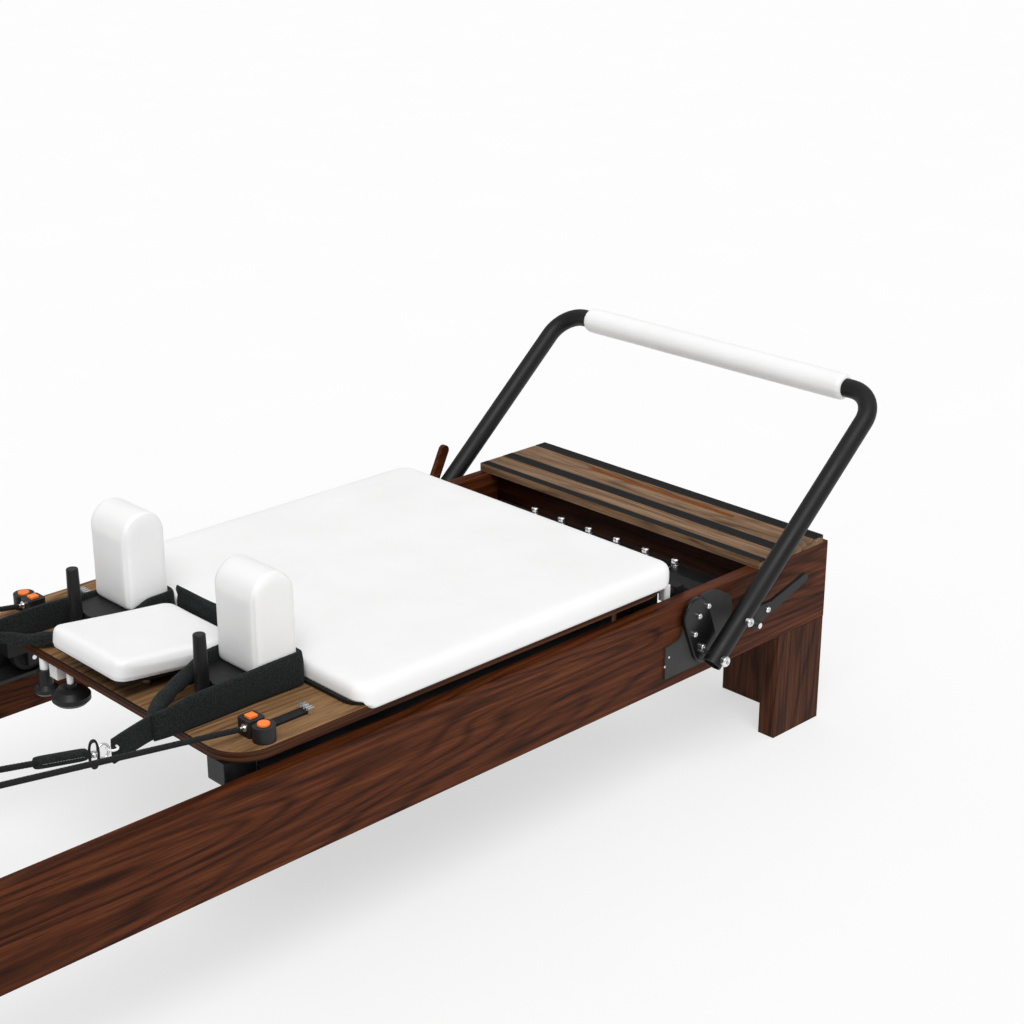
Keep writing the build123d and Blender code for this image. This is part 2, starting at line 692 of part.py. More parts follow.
def headrest_board():
    """The black board under the pad, with the knuckle of its hinge."""
    half = HEADREST_HALF - 6
    board = rounded_plate(-HEADREST_LENGTH + 8, -4, -half, half, HEADREST_BOARD_LOW, HEADREST_PAD_LOW, 12)
    knuckle = pin(0, -60, 60, 0, KNUCKLE_R) + block(-14, 0, -60, 60, HEADREST_BOARD_LOW, KNUCKLE_R)
    knuckle = knuckle - pin(0, -60, 60, 0, HINGE_PIN_R + FIT)
    return tilted(board + knuckle)


def headrest_hinge():
    """The pin of the headrest's hinge and the two lugs that hold it on the carriage board."""
    x = back(HEADREST_FOOT)
    shape = pin(x, -72, 72, HEADREST_PIVOT_Z, HINGE_PIN_R)
    for y in (-67, 67):
        shape += block(x - 3, x + 3.5, y - 5, y + 5, BOARD_TOP, HEADREST_PIVOT_Z + 3)
    return shape


def headrest_pad():
    top = HEADREST_PAD_LOW + HEADREST_PAD_THICK
    pad = rounded_plate(-HEADREST_LENGTH, 0, -HEADREST_HALF, HEADREST_HALF, HEADREST_PAD_LOW, top, 24)
    pad = fillet(pad.faces().sort_by(Axis.Z)[-1].edges(), 10)
    return tilted(pad)


PROP_FROM_FOOT = 1262
PROP_REACH = 20
PROP_LEAN = 49
PROP_PIVOT_Z = BOARD_TOP + 5


def headrest_prop():
    """The folding frame that holds the headrest up: two arms between a knuckle rod and a lifting rod."""
    frame = pin(0, -62, 62, 0, 4) + pin(-PROP_REACH, -62, 62, 0, 3)
    for y in (-58, 58):
        frame += block(-PROP_REACH, 0, y - 4, y + 4, -2, 2)
    return Pos(back(PROP_FROM_FOOT), 0, PROP_PIVOT_Z) * (Rot(0, PROP_LEAN, 0) * frame)


# ---------------------------------------------------------------- knobs below the head end
LOCK_KNOB_PLACE = (1300, 96)
SIDE_KNOB_PLACE = (1303, 165)
LOCK_KNOB_TOP = 352
SIDE_KNOB_TOP = 354


def turned_knob(place, profile):
    """A knob turned about an upright axis, from its half outline."""
    outline = Polyline(*profile, profile[0])
    return Pos(back(place[0]), place[1], 0) * revolve(Plane.XZ * make_face(outline), Axis.Z)


def lock_knob():
    """The round hand knob on its stem, under the board's head edge."""
    top = LOCK_KNOB_TOP
    return turned_knob(LOCK_KNOB_PLACE, [
        (0, top - 34), (24, top - 32), (30, top - 26), (30, top - 18),
        (22, top - 10), (9, top - 7), (9, top), (0, top),
    ])


def side_knob():
    """The smaller stem knob beside it, a long boss with a flared foot."""
    top = SIDE_KNOB_TOP
    return turned_knob(SIDE_KNOB_PLACE, [
        (0, top - 42), (14, top - 42), (19, top - 37), (19, top - 31), (12, top - 25), (12, top), (0, top),
    ])


def knob_bracket():
    """The pale stems and panel that carry the two knobs from the board's underside."""
    stem = stud(back(LOCK_KNOB_PLACE[0]), LOCK_KNOB_PLACE[1], LOCK_KNOB_TOP + RUN_GAP, BOARD_BOTTOM, 5)
    other = stud(back(SIDE_KNOB_PLACE[0]), SIDE_KNOB_PLACE[1], SIDE_KNOB_TOP + RUN_GAP, BOARD_BOTTOM, 7)
    panel = block(back(1302), back(1281), 130, 152, 345, BOARD_BOTTOM)
    return [stem, panel, other]


# ---------------------------------------------------------------- straps
STRAP_BAND = 50
STRAP_THICK = 4
STRAP_LOW = 394
STRAP_OFF = STRAP_THICK / 2 + 0.5
STRAP_JOIN = (1358, -215)
STRAP_TAIL_END = (1437, -240)
STRAP_TAIL_HIGH = 37


def strap():
    """The padded hand loop, standing on edge round the shoulder rest and its post, and its tail."""
    foot = back(REST_FROM_FOOT - REST_DEPTH / 2 - STRAP_OFF)
    inner = -REST_INNER + STRAP_OFF
    outer = -REST_OUTER - STRAP_OFF
    join = (back(STRAP_JOIN[0]), STRAP_JOIN[1])
    loop = FilletPolyline(
        join, (back(1330), outer), (foot, outer),
        (foot, inner), (back(1200), inner), (back(1300), -158), join,
        radius=8,
    )
    band = Pos(0, 0, STRAP_LOW) * extrude(trace(loop, STRAP_THICK), STRAP_BAND)
    tail_line = Line((join[0] - 2, join[1]), (back(STRAP_TAIL_END[0]), STRAP_TAIL_END[1]))
    tail = Pos(0, 0, STRAP_LOW + 2) * extrude(trace(tail_line, STRAP_THICK + 1), STRAP_TAIL_HIGH)
    return band + tail


def rest_link_band():
    """The black padded band that crosses between the two shoulder rests at the cushion's head edge."""
    x = back(REST_FROM_FOOT - REST_DEPTH / 2 - STRAP_OFF)
    half = REST_INNER - 16
    low = STRAP_LOW + 5
    return block(x - STRAP_THICK / 2, x + STRAP_THICK / 2, -half, half, low, low + 57)


# ---------------------------------------------------------------- risers, pulleys and ropes
RISER_R = 16
RISER_FROM_FOOT = 2352
PULLEY_R = 31
PULLEY_WIDTH = 18
PULLEY_BORE_R = 4
RISER_Y = -ROPE_Y + PULLEY_WIDTH / 2 + 4.5 + RISER_R


def riser_post():
    """A steel riser that stands inside the head corner and carries the pulley's fork."""
    x = back(RISER_FROM_FOOT)
    y = RISER_Y
    post = stud(x, y, 228, 640, RISER_R)
    cap = fillet(post.edges().sort_by(Axis.Z)[-1], 6)
    clamp = block(HEAD_X + RAIL_THICK, x + RISER_R + 6, y - 22, y + 22, 240, 330)
    clamp -= stud(x, y, 230, 340, RISER_R)
    return [cap, clamp]


def pulley_fork():
    """Two cheeks and an axle, reaching from the riser to the pulley."""
    x = back(PULLEY_FROM_FOOT)
    y = -ROPE_Y
    riser_x = back(RISER_FROM_FOOT)
    half = PULLEY_WIDTH / 2
    shape = pin(x, y - half - 6, y + half + 6, PULLEY_Z, PULLEY_BORE_R)
    for side in (-1, 1):
        inside = y + side * (half + 1.5)
        outside = y + side * (half + 4.5)
        shape += block(x - 14, x + 14, inside, outside, PULLEY_Z - 14, PULLEY_Z + 14)
        shape += block(riser_x - 14, x, inside, outside, PULLEY_Z - 10, PULLEY_Z + 10)
    web = block(riser_x - 14, riser_x - 8, y - half - 4.5, y + half + 4.5, PULLEY_Z - 10, PULLEY_Z + 10)
    collar = stud(riser_x, RISER_Y, PULLEY_Z - 12, PULLEY_Z + 12, RISER_R + 4)
    return shape + web + collar - stud(riser_x, RISER_Y, PULLEY_Z - 12, PULLEY_Z + 12, RISER_R)


def pulley():
    """A grooved wheel, with the rope lying on the groove's floor."""
    half = PULLEY_WIDTH / 2
    floor_r = PULLEY_PITCH_R - ROPE_R - RUN_GAP
    bore_r = PULLEY_BORE_R + FIT
    outline = Polyline((bore_r, -half), (PULLEY_R, -half), (PULLEY_R, -half + 1.5), (floor_r + 2.6, -half + 1.8))
    groove = ThreePointArc((floor_r + 2.6, -half + 1.8), (floor_r, 0), (floor_r + 2.6, half - 1.8))
    rest = Polyline((floor_r + 2.6, half - 1.8), (PULLEY_R, half - 1.5), (PULLEY_R, half), (bore_r, half))
    close = Line((bore_r, half), (bore_r, -half))
    wheel = revolve(make_face(outline + groove + rest + close), Axis.Y)
    return Pos(back(PULLEY_FROM_FOOT), -ROPE_Y, PULLEY_Z) * wheel


def rope_route():
    """Cleat eyelet, under and round the pulley, then back to the snap hook by the strap's tail."""
    centre_x, centre_z = back(PULLEY_FROM_FOOT), PULLEY_Z
    start = (back(EYELET_FROM_FOOT) + 2.5, EYELET_Z)
    end = (back(SNAP_FROM_FOOT) - 2, SNAP_Z)
    lower = tangent_angle(start, centre_x, centre_z, -1)
    upper = tangent_angle(end, centre_x, centre_z, 1)
    half_turn = (360 + lower - upper) / 4
    reach = PULLEY_PITCH_R / cos(radians(half_turn))
    corners = []
    for angle in (lower - half_turn, upper + half_turn):
        x = centre_x + reach * cos(radians(angle))
        z = centre_z + reach * sin(radians(angle))
        corners.append((x, -ROPE_Y, z))
    return [(start[0], -ROPE_Y, start[1]), *corners, (end[0], SNAP_Y, end[1])]


def tangent_angle(point, centre_x, centre_z, side):
    """Where a straight run from a point touches the pulley, as an angle about its centre."""
    dx, dz = point[0] - centre_x, point[1] - centre_z
    return degrees(atan2(dz, dx) + side * acos(PULLEY_PITCH_R / hypot(dx, dz)))


def rope():
    """The rope as a tube: two taut runs and the bight round the pulley."""
    route = FilletPolyline(*rope_route(), radius=PULLEY_PITCH_R - 0.3)
    tube = sweep(Plane(route @ 0, z_dir=route % 0) * Circle(ROPE_R), path=route)
    print(f"rope: length {route.length:.1f}, arcs {PULLEY_PITCH_R - 0.3:.1f}, "
          f"volume ratio {tube.volume / (route.length * pi * ROPE_R**2):.4f}")
    return tube


def rope_snap():
    """The swivel snap and its link, between the rope's end and the strap's tail."""
    x, y, z = back(SNAP_FROM_FOOT), SNAP_Y, SNAP_Z
    body = rounded_plate(x, x + 14, y - 6, y + 6, z - 26, z + 18, 3)
    link = pin_x(x + 14, back(STRAP_TAIL_END[0] + 2), y, z - 10, 3.5)
    return [body + link]


# ---------------------------------------------------------------- write every piece
os.makedirs("parts", exist_ok=True)
save("near_side_rail", side_rail())
save("far_side_rail", mirrored(side_rail()))
save("end_boards", [end_board(HEAD_X, HEAD_X + RAIL_THICK), end_board(FOOT_X - RAIL_THICK, FOOT_X)])
save("head_legs", leg(HEAD_X, 1) + [mirrored(board) for board in leg(HEAD_X, 1)])
save("foot_leg_near", leg(FOOT_X, -1))
save("foot_leg_far", [mirrored(board) for board in leg(FOOT_X, -1)])
save("platform_board", platform_board())
save("platform_grip_strips", [grip_strip(start, end) for start, end in STRIP_BANDS])
save("platform_apron", platform_apron())
save("roller_tracks", pair(roller_track()))
save("carriage_stops", pair(carriage_stop()))
save("spring_bar_brackets", pair(spring_bar_bracket()) + pair(bracket_bolt()))
save("cam_plate_near", cam_plate())
save("cam_plate_far", mirrored(cam_plate()))
save("cam_blocks", pair(cam_block()))
save("cam_bolts", [*cam_fasteners(), *[mirrored(bolt) for bolt in cam_fasteners()]])
save("riser_posts", riser_post() + [mirrored(piece) for piece in riser_post()])
save("pulley_forks", pair(pulley_fork()))
save("pulley_near", pulley())
save("pulley_far", mirrored(pulley()))
save("spring_bar", spring_bar())
save("spring_posts", [spring_post(y) for y in post_places()])
save("springs", [spring(y) for y in post_places()])
save("footbar_tube", footbar_tube())
save("footbar_grip", footbar_grip())
save("footbar_bolts", footbar_bolts())
save("latch_lever_near", latch_lever())
save("latch_handle_far", latch_handle())
save("carriage_board", carriage_board())
save("cushion_backing", cushion_backing())
save("carriage_cushion", carriage_cushion())
save("corner_bumpers", pair(corner_bumper()))
save("roller_housings", pair(roller_housing(ROLLER_FOOT, -1)) + pair(roller_housing(ROLLER_HEAD, 1)))
save("roller_axles", pair(roller_axle(ROLLER_FOOT)) + pair(roller_axle(ROLLER_HEAD)))
for place, distance in (("foot", ROLLER_FOOT), ("head", ROLLER_HEAD)):
    for side_name, side in (("near", -1), ("far", 1)):
        save(f"roller_{place}_{side_name}", roller(distance, side))
save("spring_anchor_bar", spring_anchor_bar())
save("rest_bases", pair(rest_base()))
save("rest_pad_near", rest_pad())
save("rest_pad_far", mirrored(rest_pad()))
save("strap_posts", pair(strap_post()))
save("cleats", pair(cleat()) + pair(cleat_tail()))
save("cleat_hardware", cleat_hardware() + [mirrored(piece) for piece in cleat_hardware()])
save("cleat_button_near", cleat_button())
save("cleat_button_far", [mirrored(piece) for piece in cleat_button()])
save("rest_link_band", rest_link_band())
save("headrest_hinge", headrest_hinge())
save("headrest_board", headrest_board())
save("headrest_pad", headrest_pad())
save("headrest_prop", headrest_prop())
save("knob_bracket", knob_bracket())
save("lock_knob", lock_knob())
save("side_knob", side_knob())
save("strap_near", strap())
save("strap_far", mirrored(strap()))
save("rope_near", rope())
save("rope_far", mirrored(rope()))
save("rope_snaps", rope_snap() + [mirrored(piece) for piece in rope_snap()])
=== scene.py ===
import math

import bmesh
import bpy
from mathutils import Matrix, Vector, noise
from mathutils.bvhtree import BVHTree
from mathutils.kdtree import KDTree


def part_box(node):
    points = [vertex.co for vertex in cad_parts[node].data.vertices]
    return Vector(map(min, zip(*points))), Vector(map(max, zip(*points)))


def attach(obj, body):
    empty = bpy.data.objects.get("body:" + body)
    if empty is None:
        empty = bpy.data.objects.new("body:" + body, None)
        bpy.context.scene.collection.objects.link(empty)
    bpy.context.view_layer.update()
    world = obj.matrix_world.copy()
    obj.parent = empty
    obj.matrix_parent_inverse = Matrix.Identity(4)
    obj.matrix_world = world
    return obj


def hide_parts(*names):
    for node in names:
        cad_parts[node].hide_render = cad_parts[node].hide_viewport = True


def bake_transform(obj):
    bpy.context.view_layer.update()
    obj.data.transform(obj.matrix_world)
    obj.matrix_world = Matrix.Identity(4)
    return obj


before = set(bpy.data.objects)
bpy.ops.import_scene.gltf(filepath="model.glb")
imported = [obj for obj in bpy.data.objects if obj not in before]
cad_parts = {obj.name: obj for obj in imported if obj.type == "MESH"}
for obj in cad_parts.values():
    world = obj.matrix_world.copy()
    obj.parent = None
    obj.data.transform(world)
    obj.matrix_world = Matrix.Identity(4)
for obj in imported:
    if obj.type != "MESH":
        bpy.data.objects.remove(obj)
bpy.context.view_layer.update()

# Pilates reformer. Metres, in the frame of the CAD model: +X to the foot end, +Y to the far side, +Z up.
FOOT_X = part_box("near_side_rail")[1].x
BOARD_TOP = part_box("carriage_board")[1].z
PLATFORM_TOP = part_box("platform_board")[1].z
MM = 0.001
SCENE = bpy.context.scene


def back(distance):
    """X of a place this many millimetres from the foot end, towards the head."""
    return FOOT_X - distance * MM


# -------- camera, light and floor
CAMERA_PLACE = Vector((-1.5125, -2.288, 1.66))
CAMERA_LOOK = Vector((0.648, 0.671, -0.360))
CAMERA_LENS = 67.8


def make_camera():
    data = bpy.data.cameras.new("camera")
    data.lens = CAMERA_LENS
    data.sensor_width = 36
    camera = bpy.data.objects.new("camera", data)
    camera.location = CAMERA_PLACE
    camera.rotation_euler = CAMERA_LOOK.to_track_quat("-Z", "Y").to_euler()
    SCENE.collection.objects.link(camera)
    bpy.context.scene.camera = camera


def make_sun(name, direction, strength, spread):
    """A sun with a wide disc, which shines along a direction and falls off with no distance."""
    data = bpy.data.lights.new(name, "SUN")
    data.energy = strength
    data.angle = math.radians(spread)
    sun = bpy.data.objects.new(name, data)
    sun.rotation_euler = Vector(direction).to_track_quat("-Z", "Y").to_euler()
    SCENE.collection.objects.link(sun)


def make_world(strength):
    world = bpy.data.worlds.new("studio")
    world.use_nodes = True
    background = world.node_tree.nodes["Background"]
    background.inputs["Color"].default_value = (1, 1, 1, 1)
    background.inputs["Strength"].default_value = strength
    SCENE.world = world


# -------- material nodes
def node(tree, kind, out=0, inputs=None, **settings):
    """Adds a node, links or sets its inputs, and returns one of its outputs."""
    made = tree.nodes.new("ShaderNode" + kind)
    for key, value in settings.items():
        setattr(made, key, value)
    for key, value in (inputs or {}).items():
        socket = made.inputs[key]
        if isinstance(value, bpy.types.NodeSocket):
            tree.links.new(value, socket)
        else:
            socket.default_value = value
    return made.outputs[out]


def coords(tree, scale=(1, 1, 1), shift=(0, 0, 0)):
    """The piece's own coordinates in metres, stretched."""
    source = node(tree, "TexCoord", "Object")
    return node(tree, "Mapping", inputs={"Vector": source, "Scale": scale, "Location": shift})


def speckle(tree, vector, scale, detail=3.0, roughness=0.55, distortion=0.0):
    values = {"Vector": vector, "Scale": scale, "Detail": detail, "Roughness": roughness,
              "Distortion": distortion}
    return node(tree, "TexNoise", "Fac", values)


def grit(tree, *values):
    """A speckle at the piece's own scale."""
    return speckle(tree, coords(tree), *values)


def blend_colours(tree, factor, stops):
    """A colour ramp through (place, colour) stops."""
    made = tree.nodes.new("ShaderNodeValToRGB")
    tree.links.new(factor, made.inputs[0])
    ramp = made.color_ramp
    while len(ramp.elements) < len(stops):
        ramp.elements.new(0.5)
    for element, (place, colour) in zip(ramp.elements, stops):
        element.position = place
        element.color = (*colour, 1)
    return made.outputs[0]


def remap(tree, value, low, high, to_low, to_high):
    values = {0: value, 1: low, 2: high, 3: to_low, 4: to_high}
    return node(tree, "MapRange", inputs=values)


def maths(tree, operation, a, b=0.0):
    return node(tree, "Math", inputs={0: a, 1: b}, operation=operation)


def mixed(tree, factor, a, b, mode="MIX"):
    made = tree.nodes.new("ShaderNodeMix")
    made.data_type = "RGBA"
    made.blend_type = mode
    for place, value in ((0, factor), (6, a), (7, b)):
        if isinstance(value, bpy.types.NodeSocket):
            tree.links.new(value, made.inputs[place])
        elif place == 0:
            made.inputs[place].default_value = value
        else:
            made.inputs[place].default_value = (*value, 1)
    return made.outputs[2]


def new_material(name, **sockets):
    """A material, its tree and its Principled shader, with the shader's constant sockets set."""
    material = bpy.data.materials.new(name)
    material.use_nodes = True
    tree = material.node_tree
    shader = tree.nodes["Principled BSDF"]
    for key, value in sockets.items():
        shader.inputs[key.replace("_", " ")].default_value = value
    return material, tree, shader


def finish_shader(tree, shader, colour=None, rough=None, height=None, depth=0.0002, strength=1.0):
    if colour is not None:
        tree.links.new(colour, shader.inputs["Base Color"])
    if rough is not None:
        tree.links.new(rough, shader.inputs["Roughness"])
    if height is not None:
        normal = node(tree, "Bump", "Normal", {"Height": height, "Distance": depth, "Strength": strength})
        tree.links.new(normal, shader.inputs["Normal"])


# -------- materials
WALNUT = ((0.018, 0.0042, 0.0014), (0.048, 0.0120, 0.0036), (0.088, 0.0225, 0.0068), (0.158, 0.0480, 0.0165))
WALNUT_LEG = ((0.016, 0.0045, 0.0015), (0.041, 0.0115, 0.0038), (0.071, 0.021, 0.007), (0.128, 0.043, 0.015))
WALNUT_TOP = ((0.075, 0.042, 0.023), (0.165, 0.095, 0.052), (0.235, 0.140, 0.078), (0.340, 0.215, 0.130))
WALNUT_BOARD = ((0.085, 0.044, 0.019), (0.185, 0.100, 0.045), (0.260, 0.145, 0.066), (0.370, 0.220, 0.110))
DARK_WALNUT = (
    (0.006, 0.0018, 0.0008), (0.014, 0.0036, 0.0014), (0.025, 0.0065, 0.0024), (0.048, 0.013, 0.005))
SLOT_BROWN = (0.42, 0.155, 0.048)
GRAIN_STRETCH = {"X": (1, 9, 9), "Y": (9, 1, 9), "Z": (9, 9, 1)}
PORE_STRETCH = {"X": (1, 34, 34), "Y": (34, 1, 34), "Z": (34, 34, 1)}


def wood(name, palette, grain, shift=(0, 0, 0), rough=0.42, accent=None):
    """Oiled walnut: bent growth rings, long streaks and fine dark pores along one axis.

    accent(tree) may give a mask and a colour that is laid over part of the wood.
    """
    material, tree, shader = new_material(name, Specular_IOR_Level=0.08)
    figure = speckle(tree, coords(tree, GRAIN_STRETCH[grain], shift), 0.8, 2.0, 0.45, 0.25)
    rings = maths(tree, "SINE", maths(tree, "MULTIPLY", figure, 130.0))
    rings = maths(tree, "POWER", remap(tree, rings, -1.0, 1.0, 0.0, 1.0), 3.0)
    streaks = speckle(tree, coords(tree, PORE_STRETCH[grain], shift), 3.4, 7.0, 0.68, 0.15)
    pores = speckle(tree, coords(tree, PORE_STRETCH[grain], shift), 15.0, 5.0, 0.72)
    clouds = speckle(tree, coords(tree, GRAIN_STRETCH[grain], shift), 0.5, 2.0)
    tone = maths(tree, "ADD", maths(tree, "MULTIPLY", rings, -0.17), maths(tree, "MULTIPLY", streaks, 0.95))
    tone = maths(tree, "ADD", tone, maths(tree, "MULTIPLY", clouds, 0.16))
    stops = list(zip((0.26, 0.43, 0.58, 0.80), palette))
    colour = blend_colours(tree, tone, stops)
    pore_mask = remap(tree, pores, 0.34, 0.47, 0.34, 1.0)
    colour = mixed(tree, 1.0, colour, pore_mask, "MULTIPLY")
    if accent is not None:
        mask, tint = accent(tree)
        colour = mixed(tree, mask, colour, tint)
    roughness = remap(tree, streaks, 0.3, 0.7, rough + 0.10, rough - 0.05)
    low, high = maths(tree, "MULTIPLY", pore_mask, 0.7), maths(tree, "MULTIPLY", streaks, 0.6)
    height = maths(tree, "ADD", low, high)
    finish_shader(tree, shader, colour, roughness, height, 0.00035, 0.6)
    return material


def slot_walls(tree):
    """The orange-brown sides of the platform's slot, which lie below its top face."""
    place = node(tree, "TexCoord", "Object")
    split = tree.nodes.new("ShaderNodeSeparateXYZ")
    tree.links.new(place, split.inputs[0])
    off_line = maths(tree, "ABSOLUTE", maths(tree, "SUBTRACT", split.outputs[0], back(62)))
    near_line = maths(tree, "LESS_THAN", off_line, 0.0062)
    near_end = maths(tree, "LESS_THAN", maths(tree, "ABSOLUTE", split.outputs[1]), 0.1870)
    below = maths(tree, "LESS_THAN", split.outputs[2], PLATFORM_TOP - 0.0003)
    mask = maths(tree, "MULTIPLY", maths(tree, "MULTIPLY", near_line, near_end), below)
    tint = blend_colours(tree, speckle(tree, coords(tree, (34, 1, 34)), 4.0), [
        (0.3, tuple(c * 0.7 for c in SLOT_BROWN)), (0.7, SLOT_BROWN)])
    return mask, tint


def laminated_edge(tree):
    """The reddish dark layers of ply seen on a board's edge, where its skin does not face up."""
    normal = node(tree, "TexCoord", "Normal")
    split = tree.nodes.new("ShaderNodeSeparateXYZ")
    tree.links.new(normal, split.inputs[0])
    mask = maths(tree, "LESS_THAN", split.outputs[2], 0.80)
    layers = speckle(tree, coords(tree, (1, 1, 160)), 2.2, 4.0, 0.7)
    tint = blend_colours(tree, layers, [
        (0.36, (0.012, 0.0042, 0.0022)), (0.50, (0.052, 0.0180, 0.0080)), (0.66, (0.115, 0.0440, 0.0200))])
    return mask, tint


def black_steel(name="satin_black_steel", value=0.007, rough=0.36):
    """Satin powder coat: fine orange peel, a little lighter where it is rubbed."""
    material, tree, shader = new_material(name, Specular_IOR_Level=0.28)
    grain = grit(tree, 900.0, 2.0)
    rubbed = grit(tree, 14.0, 4.0)
    stops = [(0.35, (value, value, value)), (0.75, (value * 1.9, value * 1.9, value * 1.85))]
    colour = blend_colours(tree, rubbed, stops)
    roughness = remap(tree, rubbed, 0.3, 0.7, rough, rough + 0.14)
    finish_shader(tree, shader, colour, roughness, grain, 0.00012, 0.5)
    return material


def metal(name, colour, rough, scratch):
    """Bright metal with fine scratches and faint tarnish."""
    material, tree, shader = new_material(name, Metallic=1.0)
    dull = grit(tree, 90.0, 4.0)
    fine = speckle(tree, coords(tree, (1, 1, 6)), 700.0, 3.0)
    darker = tuple(c * 0.72 for c in colour)
    tint = blend_colours(tree, dull, [(0.3, darker), (0.6, colour)])
    roughness = remap(tree, dull, 0.3, 0.7, rough + scratch, rough)
    finish_shader(tree, shader, tint, roughness, fine, 0.00006, 0.4)
    return material


def vinyl():
    """White upholstery vinyl: small pebbled grain, soft sheen and slight shading of handling."""
    material, tree, shader = new_material(
        "white_vinyl", Specular_IOR_Level=0.4, Coat_Weight=0.06, Coat_Roughness=0.45)
    sizes = {"Vector": coords(tree), "Scale": 780.0}
    cells = node(tree, "TexVoronoi", "Distance", sizes, feature="SMOOTH_F1")
    fine = grit(tree, 1500.0, 2.0)
    clouds = grit(tree, 7.0, 3.0)
    colour = blend_colours(tree, clouds, [(0.3, (0.845, 0.845, 0.84)), (0.7, (0.885, 0.885, 0.885))])
    roughness = remap(tree, cells, 0.0, 0.8, 0.62, 0.46)
    height = maths(tree, "ADD", cells, maths(tree, "MULTIPLY", fine, 0.3))
    finish_shader(tree, shader, colour, roughness, height, 0.00016, 0.55)
    return material


def plastic(name, colour, rough=0.4, grain=1100.0):
    """Moulded plastic with a fine spark-eroded texture."""
    material, tree, shader = new_material(name, Specular_IOR_Level=0.28)
    texture = grit(tree, grain, 2.0)
    wear = grit(tree, 30.0, 4.0)
    lighter = tuple(min(1.0, c * 1.25 + 0.002) for c in colour)
    tint = blend_colours(tree, wear, [(0.4, colour), (0.8, lighter)])
    roughness = remap(tree, wear, 0.3, 0.7, rough, rough + 0.1)
    finish_shader(tree, shader, tint, roughness, texture, 0.0001, 0.5)
    return material


def rubber(name, value=0.006):
    material, tree, shader = new_material(name, Specular_IOR_Level=0.2)
    texture = grit(tree, 420.0, 4.0)
    dust = grit(tree, 25.0, 5.0)
    colour = blend_colours(tree, dust, [(0.35, (value, value, value)), (0.8, (value * 2.2,) * 3)])
    roughness = remap(tree, dust, 0.3, 0.7, 0.55, 0.75)
    finish_shader(tree, shader, colour, roughness, texture, 0.0002, 0.6)
    return material


def fleece():
    """Charcoal fleece: short brushed pile with paler flecks."""
    material, tree, shader = new_material(
        "charcoal_fleece", Specular_IOR_Level=0.10, Sheen_Weight=0.10, Sheen_Roughness=0.6)
    shader.inputs["Sheen Tint"].default_value = (0.35, 0.42, 0.42, 1)
    pile = grit(tree, 900.0, 6.0, 0.7)
    tufts = grit(tree, 420.0, 4.0, 0.6, 0.4)
    mixed_height = maths(tree, "ADD", pile, maths(tree, "MULTIPLY", tufts, 0.9))
    colour = blend_colours(tree, mixed_height, [
        (0.50, (0.0035, 0.0042, 0.0041)), (0.92, (0.0085, 0.0100, 0.0096)), (1.0, (0.020, 0.024, 0.023))])
    roughness = remap(tree, pile, 0.3, 0.7, 0.85, 0.97)
    finish_shader(tree, shader, colour, roughness, mixed_height, 0.0008, 0.6)
    return material


def webbing(name="black_webbing", value=0.010):
    """Woven nylon webbing: a fine check of warp and weft."""
    material, tree, shader = new_material(name, Specular_IOR_Level=0.2, Sheen_Weight=0.05)
    place = coords(tree)
    ribs = node(tree, "TexWave", "Fac", {"Vector": place, "Scale": 260.0, "Distortion": 0.6, "Detail": 1.0},
                bands_direction="DIAGONAL")
    cross = node(tree, "TexWave", "Fac", {"Vector": place, "Scale": 170.0, "Distortion": 0.6, "Detail": 1.0},
                 bands_direction="Z")
    weave = maths(tree, "MULTIPLY", ribs, cross)
    fuzz = speckle(tree, place, 500.0, 4.0)
    stops = [(0.0, (value * 0.6,) * 3), (1.0, (value * 2.6, value * 2.8, value * 2.8))]
    colour = blend_colours(tree, weave, stops)
    roughness = remap(tree, fuzz, 0.3, 0.7, 0.6, 0.8)
    height = maths(tree, "ADD", weave, maths(tree, "MULTIPLY", fuzz, 0.3))
    finish_shader(tree, shader, colour, roughness, height, 0.0005, 0.8)
    return material


def anodised():
    """Black anodised aluminium, brushed along X."""
    material, tree, shader = new_material("black_anodised", Metallic=0.6)
    brushed = speckle(tree, coords(tree, (2, 120, 120)), 8.0, 4.0)
    colour = blend_colours(tree, brushed, [(0.3, (0.020, 0.020, 0.021)), (0.7, (0.045, 0.045, 0.047))])
    roughness = remap(tree, brushed, 0.3, 0.7, 0.42, 0.58)
    finish_shader(tree, shader, colour, roughness, brushed, 0.0001, 0.4)
    return material


def floor_material():
    """A white studio floor that also glows a little by itself, so the shadows on it stay pale."""
    material, tree, shader = new_material(
        "pale_floor", Specular_IOR_Level=0.0, Roughness=1.0, Emission_Strength=0.60)
    shader.inputs["Emission Color"].default_value = (1, 1, 1, 1)
    grain = grit(tree, 3.0, 2.0)
    colour = blend_colours(tree, grain, [(0.2, (0.345, 0.345, 0.345)), (0.8, (0.355, 0.355, 0.355))])
    finish_shader(tree, shader, colour)
    return material


def make_floor():
    half = 60.0
    corners = [(-half, -half, 0), (half, -half, 0), (half, half, 0), (-half, half, 0)]
    mesh = bpy.data.meshes.new("floor")
    mesh.from_pydata(corners, [], [(0, 1, 2, 3)])
    mesh.materials.append(floor_material())
    floor = bpy.data.objects.new("floor", mesh)
    SCENE.collection.objects.link(floor)
    floor.location.z = -0.0005


